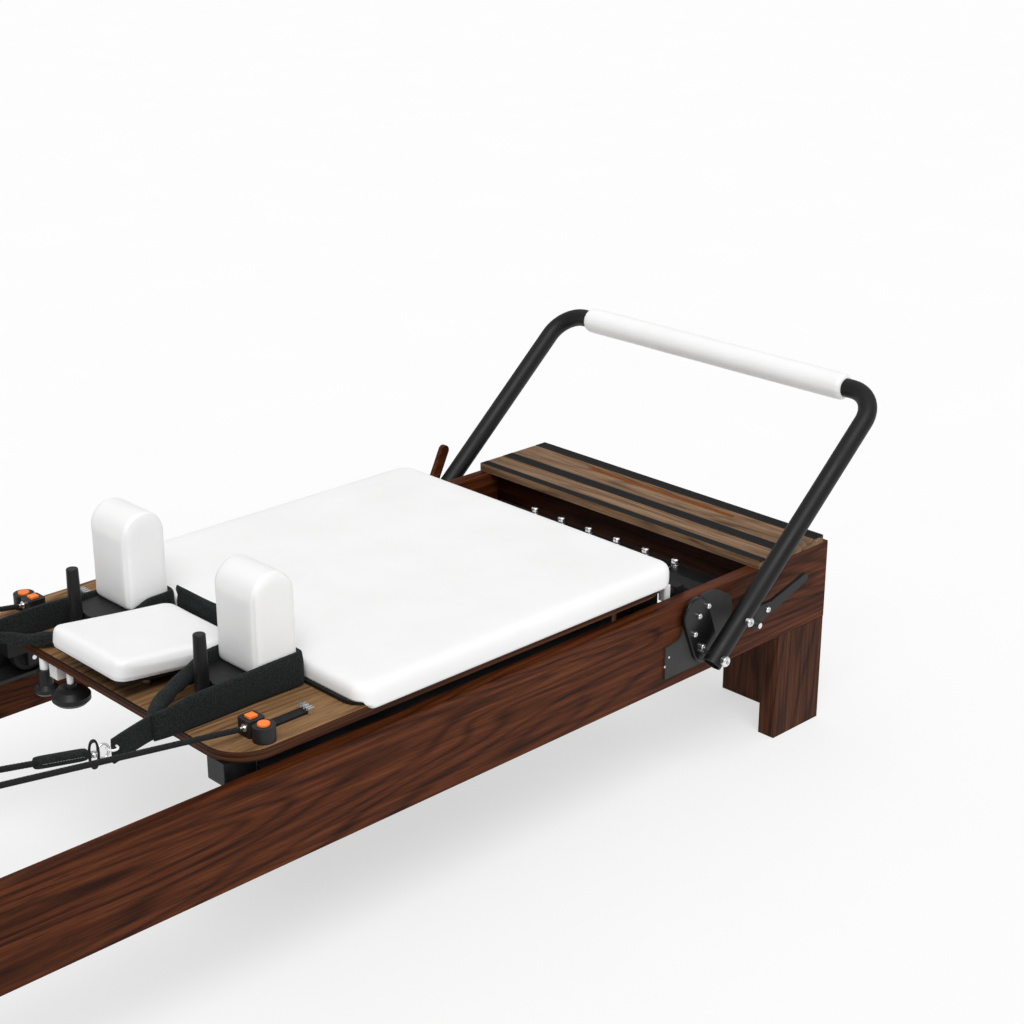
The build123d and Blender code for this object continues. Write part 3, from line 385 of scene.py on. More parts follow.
MATERIALS = {
    "rail": wood("walnut_rail", WALNUT, "X"),
    "rail_far": wood("walnut_rail_far", WALNUT, "X", (0.7, 0.31, 0.2)),
    "leg": wood("walnut_leg", WALNUT_LEG, "Z", (0.2, 0.5, 0.1)),
    "end": wood("walnut_end", WALNUT, "Y", (0.1, 0.4, 0.6)),
    "platform": wood("walnut_platform", WALNUT_TOP, "Y", (0.4, 0.1, 0.3), 0.5, slot_walls),
    "board": wood("walnut_board", WALNUT_BOARD, "X", (0.9, 0.2, 0.5), 0.5, laminated_edge),
    "apron": wood("dark_walnut", DARK_WALNUT, "Y", (0.6, 0.2, 0.9)),
    "steel": black_steel(),
    "tube": black_steel("satin_black_tube", 0.0040, 0.42),
    "cam_plate": black_steel("cam_plate_steel", 0.024, 0.50),
    "gloss_block": plastic("gloss_black_block", (0.006, 0.006, 0.006), 0.18, 500.0),
    "chrome": metal("bright_zinc", (0.86, 0.87, 0.88), 0.12, 0.16),
    "wire": metal("spring_wire", (0.50, 0.51, 0.52), 0.28, 0.12),
    "vinyl": vinyl(),
    # black of the cushion's backing and the headrest's board: partly their own colour, partly painted shade
    # under the pads' edges
    "black_board": plastic("black_board", (0.007, 0.007, 0.007), 0.5),
    "plastic": plastic("black_plastic", (0.009, 0.009, 0.0095), 0.36),
    "orange": plastic("orange_button", (0.86, 0.20, 0.035), 0.32),
    "nylon": plastic("white_nylon", (0.80, 0.80, 0.80), 0.4),
    "tyre": rubber("blue_tyre", 0.012),
    "rubber": rubber("ribbed_rubber"),
    "fleece": fleece(),
    "webbing": webbing(),
    "rope": webbing("black_rope", 0.008),
    "track": anodised(),
}

# the CAD nodes that keep their mesh, by material
NODES_DRESSED = {
    "rail": "near_side_rail latch_handle_far",
    "rail_far": "far_side_rail",
    "end": "end_boards",
    "leg": "head_legs foot_leg_near foot_leg_far",
    "platform": "platform_board",
    "rubber": "platform_grip_strips carriage_stops",
    "apron": "platform_apron",
    "track": "roller_tracks",
    "steel": (
        "spring_bar_brackets riser_posts pulley_forks spring_bar latch_lever_near "
        "spring_anchor_bar headrest_hinge"
    ),
    "cam_plate": "cam_plate_near cam_plate_far",
    "gloss_block": "cam_blocks",
    "chrome": "cam_bolts spring_posts footbar_bolts roller_axles cleat_hardware headrest_prop",
    "plastic": (
        "pulley_near pulley_far roller_housings rest_bases strap_posts cleats lock_knob side_knob "
        "rope_snaps"
    ),
    "tube": "footbar_tube",
    "board": "carriage_board",
    # boards under the pads, black partly as painted shade
    "black_board": "cushion_backing headrest_board",
    "nylon": "corner_bumpers knob_bracket",
    "tyre": "roller_foot_near roller_foot_far roller_head_near roller_head_far",
    "orange": "cleat_button_near cleat_button_far",
}


def dress_frame():
    for material, names in NODES_DRESSED.items():
        for name in names.split():
            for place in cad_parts[name].material_slots:
                place.material = MATERIALS[material]


# -------- mesh helpers
def new_piece(name, verts, faces, material, smooth=True):
    mesh = bpy.data.meshes.new(name)
    mesh.from_pydata([tuple(v) for v in verts], [], faces)
    mesh.materials.append(MATERIALS[material])
    for polygon in mesh.polygons:
        polygon.use_smooth = smooth
    mesh.update()
    obj = bpy.data.objects.new(name, mesh)
    SCENE.collection.objects.link(obj)
    return obj


def spline_points(points, per_point=24):
    """Points along a NURBS spline of order 3 with these control points."""
    curve = bpy.data.curves.new("route", "CURVE")
    curve.dimensions = "3D"
    spline = curve.splines.new("NURBS")
    spline.points.add(len(points) - 1)
    for place, point in zip(spline.points, points):
        place.co = (*point, 1)
    spline.order_u = 3
    spline.use_endpoint_u = True
    spline.resolution_u = per_point
    holder = bpy.data.objects.new("route", curve)
    mesh = bpy.data.meshes.new_from_object(holder)
    made = [v.co.copy() for v in mesh.vertices]
    bpy.data.meshes.remove(mesh)
    bpy.data.objects.remove(holder)
    bpy.data.curves.remove(curve)
    return made


def even_points(points, step):
    """The same line with points an even step apart."""
    lengths = [0.0]
    for a, b in zip(points, points[1:]):
        lengths.append(lengths[-1] + (b - a).length)
    count = max(2, round(lengths[-1] / step) + 1)
    made, place = [], 0
    for number in range(count):
        target = lengths[-1] * number / (count - 1)
        while place < len(lengths) - 2 and lengths[place + 1] < target:
            place += 1
        span = lengths[place + 1] - lengths[place]
        share = 0.0 if span == 0 else (target - lengths[place]) / span
        made.append(points[place].lerp(points[place + 1], share))
    return made


def line_frames(points, up=None):
    """A side and an up direction at each point, turning as little as possible, or level where up is given."""
    frames = []
    last = None
    for number in range(len(points)):
        ahead = points[min(number + 1, len(points) - 1)] - points[max(number - 1, 0)]
        ahead.normalize()
        if up is not None:
            side = ahead.cross(up).normalized()
            frames.append((side, up))
            continue
        if last is None:
            seed = Vector((0, 0, 1)) if abs(ahead.z) < 0.9 else Vector((1, 0, 0))
            side = ahead.cross(seed).normalized()
        else:
            side = (last - ahead * last.dot(ahead)).normalized()
        last = side
        frames.append((side, side.cross(ahead).normalized()))
    return frames


def turns(count):
    """Even angles round a circle."""
    return [math.tau * k / count for k in range(count)]


def ring_faces(rings, around, base=0):
    """The quads between rings of points that follow each other."""
    faces = []
    for ring in range(rings - 1):
        for k in range(around):
            a, b = base + ring * around + k, base + ring * around + (k + 1) % around
            faces.append((a, b, b + around, a + around))
    return faces


def sweep(name, points, section, material, up=None):
    """A closed skin over a section(share, length) of (side, up) offsets, carried along a line."""
    verts = []
    travelled = 0.0
    total = sum((b - a).length for a, b in zip(points, points[1:]))
    for number, (point, (side, high)) in enumerate(zip(points, line_frames(points, up))):
        if number:
            travelled += (point - points[number - 1]).length
        ring = section(travelled / total, travelled)
        verts += [point + side * u + high * v for u, v in ring]
    around = len(ring)
    faces = ring_faces(len(points), around)
    faces.append(tuple(reversed(range(around))))
    faces.append(tuple(range(len(verts) - around, len(verts))))
    return new_piece(name, verts, faces, material)


def circle_section(radius, sides):
    ring = [(math.cos(a) * radius, math.sin(a) * radius) for a in turns(sides)]
    return lambda share, travelled: ring


def superellipse(half_width, half_height, power, sides=28):
    """A rounded rectangle's outline as (side, up) offsets."""
    ring = []
    for angle in turns(sides):
        c, s = math.cos(angle), math.sin(angle)
        ring.append((math.copysign(abs(c) ** (2 / power), c) * half_width,
                     math.copysign(abs(s) ** (2 / power), s) * half_height))
    return ring


def rounded_outline(x0, x1, y0, y1, radius, steps=8):
    """Points round a rectangle with rounded corners, anticlockwise."""
    made = []
    corners = ((x1 - radius, y0 + radius, -90), (x1 - radius, y1 - radius, 0),
               (x0 + radius, y1 - radius, 90), (x0 + radius, y0 + radius, 180))
    for cx, cy, start in corners:
        for k in range(steps + 1):
            a = math.radians(start + 90 * k / steps)
            made.append((cx + radius * math.cos(a), cy + radius * math.sin(a)))
    return made


def prism(name, outline, low, high, material, plane="XY"):
    """A closed prism on an outline, standing between two heights along the plane's third axis."""
    def place(u, v, w):
        return (u, v, w) if plane == "XY" else (u, w, v)
    verts = [place(u, v, low) for u, v in outline] + [place(u, v, high) for u, v in outline]
    count = len(outline)
    faces = [(k, (k + 1) % count, (k + 1) % count + count, k + count) for k in range(count)]
    faces += [tuple(reversed(range(count))), tuple(range(count, 2 * count))]
    obj = new_piece(name, verts, faces, material)
    mesh = bmesh.new()
    mesh.from_mesh(obj.data)
    bmesh.ops.recalc_face_normals(mesh, faces=mesh.faces)
    mesh.to_mesh(obj.data)
    mesh.free()
    return obj


def apply_modifiers(obj):
    bpy.context.view_layer.update()
    shaped = bpy.data.meshes.new_from_object(obj.evaluated_get(bpy.context.evaluated_depsgraph_get()))
    old = obj.data
    obj.modifiers.clear()
    obj.data = shaped
    bpy.data.meshes.remove(old)
    for polygon in shaped.polygons:
        polygon.use_smooth = True


def bevel_and_remesh(obj, bevel, voxel):
    """Round a pad's hard edges, then give it an even skin for the cloth."""
    rounding = obj.modifiers.new("rounding", "BEVEL")
    rounding.width = bevel
    rounding.segments = 4
    rounding.limit_method = "ANGLE"
    apply_modifiers(obj)
    skin = obj.modifiers.new("skin", "REMESH")
    skin.mode = "VOXEL"
    skin.voxel_size = voxel
    apply_modifiers(obj)


SWELL_FRAMES = 8
SWELL_PRESSURE = 4.0


def swell(obj, cap, held):
    """Swell a pad as cloth, fixed where held(point) is true. No point moves further than cap."""
    rest = [v.co.copy() for v in obj.data.vertices]
    pins = obj.vertex_groups.new(name="held")
    pins.add([k for k, point in enumerate(rest) if held(point)], 1.0, "REPLACE")
    cloth = obj.modifiers.new("cloth", "CLOTH")
    cloth.settings.vertex_group_mass = "held"
    cloth.settings.use_pressure = True
    cloth.settings.uniform_pressure_force = SWELL_PRESSURE
    cloth.settings.effector_weights.gravity = 0
    cloth.settings.quality = 4
    for number in range(1, SWELL_FRAMES + 1):
        SCENE.frame_set(number)
    apply_modifiers(obj)
    for vertex, start in zip(obj.data.vertices, rest):
        moved = vertex.co - start
        if moved.length > cap:
            vertex.co = start + moved * (cap / moved.length)
    SCENE.frame_set(1)
    obj.vertex_groups.clear()
    obj.data.update()


def smooth_skin(obj, rounds):
    mesh = bmesh.new()
    mesh.from_mesh(obj.data)
    for _ in range(rounds):
        bmesh.ops.smooth_vert(
            mesh, verts=mesh.verts, factor=0.5, use_axis_x=True, use_axis_y=True, use_axis_z=True)
    mesh.to_mesh(obj.data)
    mesh.free()


def clamp_below(obj, level):
    """Keep a pad's underside flat at the level it rests on."""
    for vertex in obj.data.vertices:
        vertex.co.z = max(vertex.co.z, level)
    obj.data.update()


def surface(obj):
    bpy.context.view_layer.update()
    return BVHTree.FromObject(obj, bpy.context.evaluated_depsgraph_get())


def on_surface(tree, points):
    """Points moved to the nearest place on a skin."""
    return [tree.find_nearest(point)[0] for point in points]


# a stitch's rings: place along it in lengths, size and lift in radii
STITCH_RINGS = ((-0.5, 0.25, -0.4), (-0.36, 0.9, 0.25), (0.36, 0.9, 0.25), (0.5, 0.25, -0.4))


def stitches(name, points, pitch, length, radius, material, tree):
    """Separate thread stitches that lie on a skin along a line."""
    line = even_points(points, pitch)
    verts, faces = [], []
    sides = 6
    for a, b in zip(line, line[1:]):
        ahead = (b - a).normalized()
        middle = (a + b) / 2
        _, normal, _, _ = tree.find_nearest(middle)
        side = ahead.cross(normal).normalized()
        base = len(verts)
        for along, size, lift in STITCH_RINGS:
            centre = middle + ahead * (along * length) + normal * (lift * radius)
            for angle in turns(sides):
                verts.append(centre + (side * math.cos(angle) + normal * math.sin(angle)) * radius * size)
        faces += ring_faces(len(STITCH_RINGS), sides, base)
        faces.append(tuple(base + k for k in reversed(range(sides))))
        faces.append(tuple(base + (len(STITCH_RINGS) - 1) * sides + k for k in range(sides)))
    return new_piece(name, verts, faces, material)


def groove(obj, points, width, depth):
    """Press a seam's valley into a skin along a line."""
    dense = even_points(points, 0.0015)
    tree = KDTree(len(dense))
    for number, point in enumerate(dense):
        tree.insert(point, number)
    tree.balance()
    normals = [v.normal.copy() for v in obj.data.vertices]
    for vertex, normal in zip(obj.data.vertices, normals):
        _, _, away = tree.find(vertex.co)
        if away < width:
            vertex.co -= normal * depth * (0.5 + 0.5 * math.cos(math.pi * away / width))
    obj.data.update()


# -------- cushion and headrest
def subdivide(obj):
    finer = obj.modifiers.new("finer", "SUBSURF")
    finer.levels = 1
    finer.render_levels = 1
    apply_modifiers(obj)


def bevel_top(pad, base_z, edge):
    mesh = bmesh.new()
    mesh.from_mesh(pad.data)
    top = max(v.co.z for v in mesh.verts)
    rims = [e for e in mesh.edges if all(abs(v.co.z - top) < 1e-5 for v in e.verts)]
    bmesh.ops.bevel(mesh, geom=rims, offset=edge, segments=6, profile=0.6, affect="EDGES")
    feet = [e for e in mesh.edges
            if all(abs(v.co.z - base_z) < 1e-5 for v in e.verts) and len(e.link_faces) == 2]
    bmesh.ops.bevel(mesh, geom=feet, offset=edge * 0.25, segments=3, profile=0.5, affect="EDGES")
    mesh.to_mesh(pad.data)
    mesh.free()


# its rings, from the fold under the hem to the rim of the crown: inset and height
CUSHION_RINGS = (
    (0.0082, 0.3973), (0.0079, 0.3914), (0.0037, 0.3914), (0.0035, 0.3852), (0.0022, 0.3847),
    (0.0009, 0.3853), (0.0003, 0.3880), (0.0001, 0.3930), (0.0000, 0.4000), (0.0002, 0.4080),
    (0.0014, 0.4140), (0.0040, 0.4186), (0.0080, 0.4217), (0.0130, 0.4234), (0.0200, 0.4242),
    (0.0300, 0.4246),
)
CROWN_STEPS = 18
CROWN_RIM = 0.4246
OVER_BACKING, OVER_BOARD = 0.3973, 0.3914


def pad_outline(low, high, inset, radius, between=56):
    """A rounded rectangle with the same count of points at every inset."""
    x0, x1, y0, y1 = low.x + inset, high.x - inset, low.y + inset, high.y - inset
    arcs = rounded_outline(x0, x1, y0, y1, radius, 10)
    made = []
    for corner in range(4):
        arc = arcs[corner * 11:corner * 11 + 11]
        ahead = arcs[(corner * 11 + 11) % len(arcs)]
        made += arc
        x, y = arc[-1]
        for k in range(1, between):
            share = k / between
            made.append((x + (ahead[0] - x) * share, y + (ahead[1] - y) * share))
    return made


def over_board(x, y, z):
    """A hem point kept off the carriage board and its black backing, whose black is partly painted shade."""
    if abs(y) < 0.3364 and x < back(408.5):
        z = max(z, OVER_BACKING)
    elif abs(y) < 0.3402 and x < back(403.8):
        z = max(z, OVER_BOARD)
    return z


def make_cushion():
    """Rings round the pad, from the fold under its hem, up its side and in to the middle of its crown."""
    low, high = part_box("carriage_cushion")
    middle = (low + high) / 2
    verts = []
    for inset, z in CUSHION_RINGS:
        outline = pad_outline(low, high, inset, max(0.030 - inset, 0.006))
        for x, y in outline:
            ripple = noise.noise(Vector((x * 14, y * 14, z * 30))) * 0.0005
            verts.append((x, y, over_board(x, y, z + (ripple if 0.388 < z < 0.42 else 0.0))))
    around = len(outline)
    last = verts[-around:]
    for step in range(1, CROWN_STEPS + 1):
        shrink = 1 - step / (CROWN_STEPS + 1)
        for x, y, _ in last:
            u, v = middle.x + (x - middle.x) * shrink, middle.y + (y - middle.y) * shrink
            dent = noise.noise(Vector((u * 7, v * 7, 1.7))) * 0.0004
            verts.append((u, v, CROWN_RIM + min(0.0006, step * 0.0001) + dent))
    rows = len(verts) // around
    faces = ring_faces(rows, around)
    faces.append(tuple(reversed(range(around))))
    faces.append(tuple(range((rows - 1) * around, rows * around)))
    pad = new_piece("cushion_skin", verts, faces, "vinyl")
    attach(pad, "carriage")
    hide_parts("carriage_cushion")


HEADREST_TILT = 6.7
HEADREST_HINGE = Vector((back(1112), 0, BOARD_TOP + 0.005))


def make_headrest():
    """Built level about the hinge and then tilted, as the frame holds it."""
    tilt = Matrix.Rotation(math.radians(HEADREST_TILT), 4, "Y")
    length, half, base, thick = 0.226, 0.099, 0.0052, 0.0365
    outline = rounded_outline(-length + 0.003, -0.003, -half + 0.003, half - 0.003, 0.020)
    pad = prism("headrest_skin", outline, base, base + thick - 0.004, "vinyl")
    bevel_top(pad, base, 0.009)
    bevel_and_remesh(pad, 0.0005, 0.004)
    swell(pad, 0.0011, lambda p: p.z < base + 0.003)
    smooth_skin(pad, 2)
    clamp_below(pad, base)
    subdivide(pad)
    seam = [Vector((x, y, base + 0.004)) for x, y in outline]
    seam.append(seam[0])
    groove(pad, on_surface(surface(pad), seam), 0.0035, 0.0012)
    pad.data.transform(Matrix.Translation(HEADREST_HINGE) @ tilt)
    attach(pad, "headrest")
    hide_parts("headrest_pad")


# -------- shoulder rests
REST_SIDES = {"near": -1, "far": 1}
REST_DEPTH = 0.078


def arch_outline(x, low, top, half, steps=22):
    """The rest's outline in the upright plane along the machine: straight sides under a half round."""
    crown = top - half
    made = [(x - half, low), (x + half, low)]
    for k in range(steps + 1):
        angle = math.pi * k / steps
        made.append((x + half * math.cos(angle), crown + half * math.sin(angle)))
    return made


def make_rest(side_name):
    node_name = f"rest_pad_{side_name}"
    side = REST_SIDES[side_name]
    _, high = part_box(node_name)
    x, low = back(1136), BOARD_TOP + 0.033
    y0, y1 = sorted((side * 0.114, side * 0.216))
    inset = 0.0008
    outline = arch_outline(x, low, high.z - inset, REST_DEPTH / 2 - inset)
    pad = prism(f"rest_skin_{side_name}", outline, y0 + inset, y1 - inset, "vinyl", "XZ")
    bevel_and_remesh(pad, 0.005, 0.0042)
    swell(pad, 0.0009, lambda p: p.z < low + 0.012)
    smooth_skin(pad, 2)
    clamp_below(pad, low)
    subdivide(pad)
    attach(pad, f"shoulder_rest_{side_name}")
    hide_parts(node_name)
    skin = surface(pad)
    edge = arch_outline(x, low, high.z, REST_DEPTH / 2)[1:]
    for face_name, y, inward in (("a", y0, 1), ("b", y1, -1)):
        seam = [Vector((u, y + inward * 0.004, v)) for u, v in edge]
        seam.append(Vector((x - REST_DEPTH / 2, y + inward * 0.004, low)))
        line = on_surface(skin, even_points(seam, 0.003))
        groove(pad, line, 0.0035, 0.0011)
        inner = [Vector((x + (p.x - x) * 0.91, y, high.z - (high.z - p.z) * 0.985 - 0.003)) for p in seam]
        inner_line = on_surface(skin, even_points(inner, 0.003))
        name = f"rest_stitches_{side_name}_{face_name}"
        thread = stitches(name, inner_line, 0.0042, 0.0033, 0.00045, "vinyl", skin)
        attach(thread, f"shoulder_rest_{side_name}")


# -------- footbar grip
def make_grip():
    low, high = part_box("footbar_grip")
    middle = (low + high) / 2
    half = (high.y - low.y) / 2
    radius = (high.z - low.z) / 2
    points = [Vector((middle.x, -half + 2 * half * k / 220, middle.z)) for k in range(221)]
    sides = 48

    def section(share, travelled):
        from_end = min(travelled, 2 * half - travelled)
        swellness = 1 - 0.20 * math.exp(-from_end / 0.0035)
        ring = []
        for angle in turns(sides):
            soft = noise.noise(Vector((math.cos(angle) * 0.9, math.sin(angle) * 0.9, travelled * 9)))
            pucker = 0.012 * math.exp(-from_end / 0.018) * math.sin(14 * angle + 2 * soft)
            r = radius * swellness * (0.985 + 0.012 * soft + pucker)
            ring.append((r * math.cos(angle), r * math.sin(angle)))
        return ring

    grip = sweep("grip_sleeve", points, section, "vinyl")
    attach(grip, "footbar")
    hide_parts("footbar_grip")
    skin = surface(grip)
    seam = [Vector((middle.x, y, low.z)) for y in (-half + 0.012, half - 0.012)]
    line = on_surface(skin, even_points(seam, 0.006))
    thread = stitches("grip_stitches", line, 0.005, 0.0038, 0.0005, "vinyl", skin)
    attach(thread, "footbar")


# -------- hand straps
STRAP_MIDDLE = 0.4190
# the loop's stations, from its join out round the rest and back:
# share of its length, half thickness, half height, middle height
NEAR_STATIONS = (
    (0.00, 0.0044, 0.0215, 0.4130), (0.12, 0.0050, 0.0260, 0.4170), (0.33, 0.0048, 0.0270, 0.4195),
    (0.62, 0.0044, 0.0255, 0.4190), (0.70, 0.0050, 0.0240, 0.4190), (0.76, 0.0080, 0.0170, 0.4200),
    (0.82, 0.0112, 0.0105, 0.4195), (0.93, 0.0112, 0.0100, 0.4170), (1.00, 0.0050, 0.0090, 0.4110),
)
FAR_STATIONS = (
    (0.00, 0.0042, 0.0200, 0.4120), (0.12, 0.0050, 0.0235, 0.4110), (0.33, 0.0048, 0.0220, 0.4070),
    (0.45, 0.0046, 0.0250, 0.4190), (0.62, 0.0044, 0.0230, 0.4180), (0.70, 0.0080, 0.0140, 0.4090),
    (0.78, 0.0105, 0.0100, 0.4060), (0.93, 0.0105, 0.0095, 0.4060), (1.00, 0.0050, 0.0090, 0.4100),
)


def at_station(stations, share):
    """The stations' values, eased between neighbours."""
    for (a, *first), (b, *second) in zip(stations, stations[1:]):
        if share <= b:
            t = (share - a) / (b - a)
            t = t * t * (3 - 2 * t)
            return [u + (v - u) * t for u, v in zip(first, second)]
    return list(stations[-1][1:])


def strap_route(side):
    """The loop's corners in plan, from its join round the rest and back."""
    corners = [(1356, 216), (1338, 220), (1300, 219.5), (1118, 218.7), (1097, 218.7), (1094, 215),
               (1094, 200), (1094, 130), (1094, 116), (1098, 111), (1125, 111), (1195, 112),
               (1235, 125), (1290, 153), (1332, 182), (1354, 207)]
    return [Vector((back(d), side * y * MM, STRAP_MIDDLE)) for d, y in corners]


def make_strap(side_name):
    side = REST_SIDES[side_name]
    stations = NEAR_STATIONS if side_name == "near" else FAR_STATIONS
    line = even_points(spline_points(strap_route(side)), 0.004)

    def loop_section(share, travelled):
        thick, high, middle = at_station(stations, share)
        rolled = min(1.0, max(0.0, (thick - 0.005) / 0.004))
        power = 3.4 - 1.3 * rolled
        ring = []
        for u, v in superellipse(thick, high, power, 40):
            ripple = noise.noise(Vector((travelled * 38, v * 60, side * 3.0))) * (0.0006 + 0.0009 * rolled)
            lean = noise.noise(Vector((travelled * 9, side * 7.0, 0.0))) * 0.0014 * (v / 0.025)
            fold = 0.0012 * rolled * math.sin(travelled * 130 + v * 160)
            ring.append((u + math.copysign(ripple, u) + lean, v + fold + middle - STRAP_MIDDLE))
        return ring

    loop = sweep(f"strap_loop_{side_name}", line, loop_section, "fleece", up=Vector((0, 0, 1)))
    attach(loop, "carriage")
    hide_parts(f"strap_{side_name}")
    tail_points = [(1352, 211), (1368, 215), (1402, 227), (1437, 240)]
    tail_route = [Vector((back(d), side * y * MM, 0.4115 + 0.00004 * (d - 1352))) for d, y in tail_points]
    tail_line = even_points(spline_points(tail_route), 0.003)

    def tail_section(share, travelled):
        thick = 0.0036 if share < 0.86 else 0.0028
        return superellipse(thick, 0.0190, 5.0, 32)

    tail = sweep(f"strap_tail_{side_name}", tail_line, tail_section, "fleece", up=Vector((0, 0, 1)))
    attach(tail, "carriage")
    skin = surface(tail)
    for number, share in enumerate((0.12, 0.17, 0.86)):
        centre = tail_line[int(share * len(tail_line))]
        column = [centre + Vector((0, side * 0.004, z)) for z in (-0.0165, 0.0165)]
        row = on_surface(skin, even_points(column, 0.003))
        name = f"strap_stitches_{side_name}_{number}"
        thread = stitches(name, row, 0.0035, 0.0027, 0.00045, "webbing", skin)
        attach(thread, "carriage")


# black bars under the carriage board: partly an underframe, partly painted shade under the board's edges
UNDERFRAME_SHADE_HEAD, UNDERFRAME_SHADE_LENGTH = 1243, 768
UNDERFRAME_SHADE_Y, UNDERFRAME_SHADE_Z = 0.262, 0.339


def make_underframe_shade_bars():
    """Two black steel bars under the carriage board, between its rollers: partly an underframe, partly
    painted shade that darkens the space under the board's edges.
    """
    for side_name, side in REST_SIDES.items():
        places = [back(UNDERFRAME_SHADE_HEAD - UNDERFRAME_SHADE_LENGTH * k / 24) for k in range(25)]
        line = [Vector((x, side * UNDERFRAME_SHADE_Y, UNDERFRAME_SHADE_Z)) for x in places]

        def section(share, travelled):
            return superellipse(0.0035, 0.0335, 7.0, 36)

        bar = sweep(f"underframe_shade_bar_{side_name}", line, section, "steel", up=Vector((0, 0, 1)))
        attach(bar, "carriage")


def loop_of_wire(name, centre, right, high, half_right, half_high, radius, material, power):
    """A closed ring of round wire, oval in its own plane."""
    verts, faces = [], []
    ring = superellipse(half_right, half_high, power, 40)
    places = [centre + right * u + high * v for u, v in ring]
    flat = right.cross(high).normalized()
    for place in places:
        out = (place - centre).normalized()
        for angle in turns(10):
            verts.append(place + (out * math.cos(angle) + flat * math.sin(angle)) * radius)
    for row in range(40):
        for k in range(10):
            a, b = row * 10 + k, row * 10 + (k + 1) % 10
            after = ((row + 1) % 40) * 10
            faces.append((a, b, after + (k + 1) % 10, after + k))
    return new_piece(name, verts, faces, material)


def make_snap(side_name):
    """Black snap hook, silver swivel and white ring between the strap's tail and the rope's end."""
    side = REST_SIDES[side_name]
    place = Vector((back(1467), side * 0.241, 0.422))
    along = Vector((1, side * 0.05, 0)).normalized()
    up = Vector((0, 0, 1))
    across = Vector((0, 1, 0))
    rings = (("snap_hook", 0.0, up, 0.0065, 0.0200, 0.0026, "plastic", 2.6),
             ("snap_ring", 0.014, up, 0.0085, 0.0105, 0.0017, "chrome", 2.0),
             ("tail_ring", 0.028, across, 0.0072, 0.0085, 0.0018, "nylon", 2.0))
    pieces = [loop_of_wire(f"{name}_{side_name}", place + along * ahead, along, high, *sizes)
              for name, ahead, high, *sizes in rings]
    line = [place + up * (0.006 * k / 6 - 0.003) for k in range(7)]
    pieces.append(sweep(f"snap_gate_{side_name}", line, circle_section(0.0052, 20), "chrome"))
    for piece, slot in zip(pieces, ("black_plastic", "silver_steel", "white_nylon", "silver_steel")):
        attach(piece, "carriage")
    if side_name == "near":
        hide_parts("rope_snaps")


def make_link_band():
    low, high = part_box("rest_link_band")
    x = (low.x + high.x) / 2
    points = [Vector((x, y, (low.z + high.z) / 2)) for y in (low.y, low.y / 2, 0, high.y / 2, high.y)]
    line = even_points(points, 0.004)

    def section(share, travelled):
        ring = []
        for u, v in superellipse(0.0018, (high.z - low.z) / 2 - 0.002, 3.6, 40):
            bend = 1.5 * math.sin(travelled * 30)
            fold = 0.0014 * math.sin(v * 260 + bend) + 0.001 * math.sin(travelled * 48)
            ring.append((u + fold, v))
        return ring

    band = sweep("link_band_skin", line, section, "fleece", up=Vector((0, 0, 1)))
    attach(band, "carriage")
    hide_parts("rest_link_band")


# -------- ropes
ROPE_D = 0.009
ROPE_Y = 0.295
PULLEY_X = back(2320)
PULLEY_Z = 0.590
PULLEY_PITCH = 0.0265


def tangent_angle(x, z, side):
    """Where a straight run from a point touches the pulley, as an angle about its centre."""
    dx, dz = x - PULLEY_X, z - PULLEY_Z
    return math.atan2(dz, dx) + side * math.acos(PULLEY_PITCH / math.hypot(dx, dz))


def rope_route(side):
    """Eyelet, taut lower run, round the pulley, taut upper run to the snap."""
    eyelet = Vector((back(1270) + 0.0025, side * ROPE_Y, 0.407))
    snap = Vector((back(1474) - 0.002, side * 0.241, 0.426))
    low_angle = tangent_angle(eyelet.x, eyelet.z, -1)
    high_angle = tangent_angle(snap.x, snap.z, 1)
    half_turn = (math.tau + low_angle - high_angle) / 4
    reach = PULLEY_PITCH / math.cos(half_turn)
    lower, upper = [
        Vector((PULLEY_X + reach * math.cos(a), side * ROPE_Y, PULLEY_Z + reach * math.sin(a)))
        for a in (low_angle - half_turn, high_angle + half_turn)]
    return [eyelet, eyelet.lerp(lower, 0.05), eyelet.lerp(lower, 0.955), lower,
            upper, snap.lerp(upper, 0.945), snap.lerp(upper, 0.06), snap]


def make_rope(side_name):
    side = REST_SIDES[side_name]
    path = spline_points(rope_route(side), 30)
    line = even_points(path, 0.0014)
    sides = 24

    def braid(share, travelled):
        ring = []
        for angle in turns(sides):
            weave = abs(math.sin(4 * angle + travelled * 520) * math.sin(4 * angle - travelled * 520))
            r = ROPE_D / 2 * (0.90 + 0.12 * weave)
            ring.append((r * math.cos(angle), r * math.sin(angle)))
        return ring

    rope = sweep(f"rope_braid_{side_name}", line, braid, "rope")
    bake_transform(rope)
    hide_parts(f"rope_{side_name}")
    even_points(path, 0.01)
    make_sleeve(side_name, even_points(path, 0.002)[-43:-2])


def make_sleeve(side_name, line):
    """The stitched black sleeve over the rope's end by the snap."""
    side = REST_SIDES[side_name]

    def section(share, travelled):
        ring = []
        for u, v in superellipse(0.0080, 0.0086, 2.4, 28):
            pull = 1 - 0.10 * math.exp(-min(share, 1 - share) / 0.05)
            dent = 0.0003 * math.sin(travelled * 700)
            ring.append((u * pull + math.copysign(dent, u), v * pull))
        return ring

    sleeve = sweep(f"rope_sleeve_{side_name}", line, section, "fleece")
    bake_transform(sleeve)
    skin = surface(sleeve)
    outer = [point + Vector((0, side * 0.012, 0)) for point in line[3:-3]]
    line = on_surface(skin, outer)
    thread = stitches(f"sleeve_stitches_{side_name}", line, 0.0045, 0.0034, 0.0005, "wire", skin)
    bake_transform(thread)


# -------- springs
POST_X, ANCHOR_X = back(216), back(960)
POST_COUNT, POST_PITCH = 6, 0.072
SPRING_Z = 0.317
SPRING_WIRE, COIL_RADIUS, EYE_RADIUS = 0.0016, 0.0080, 0.0064


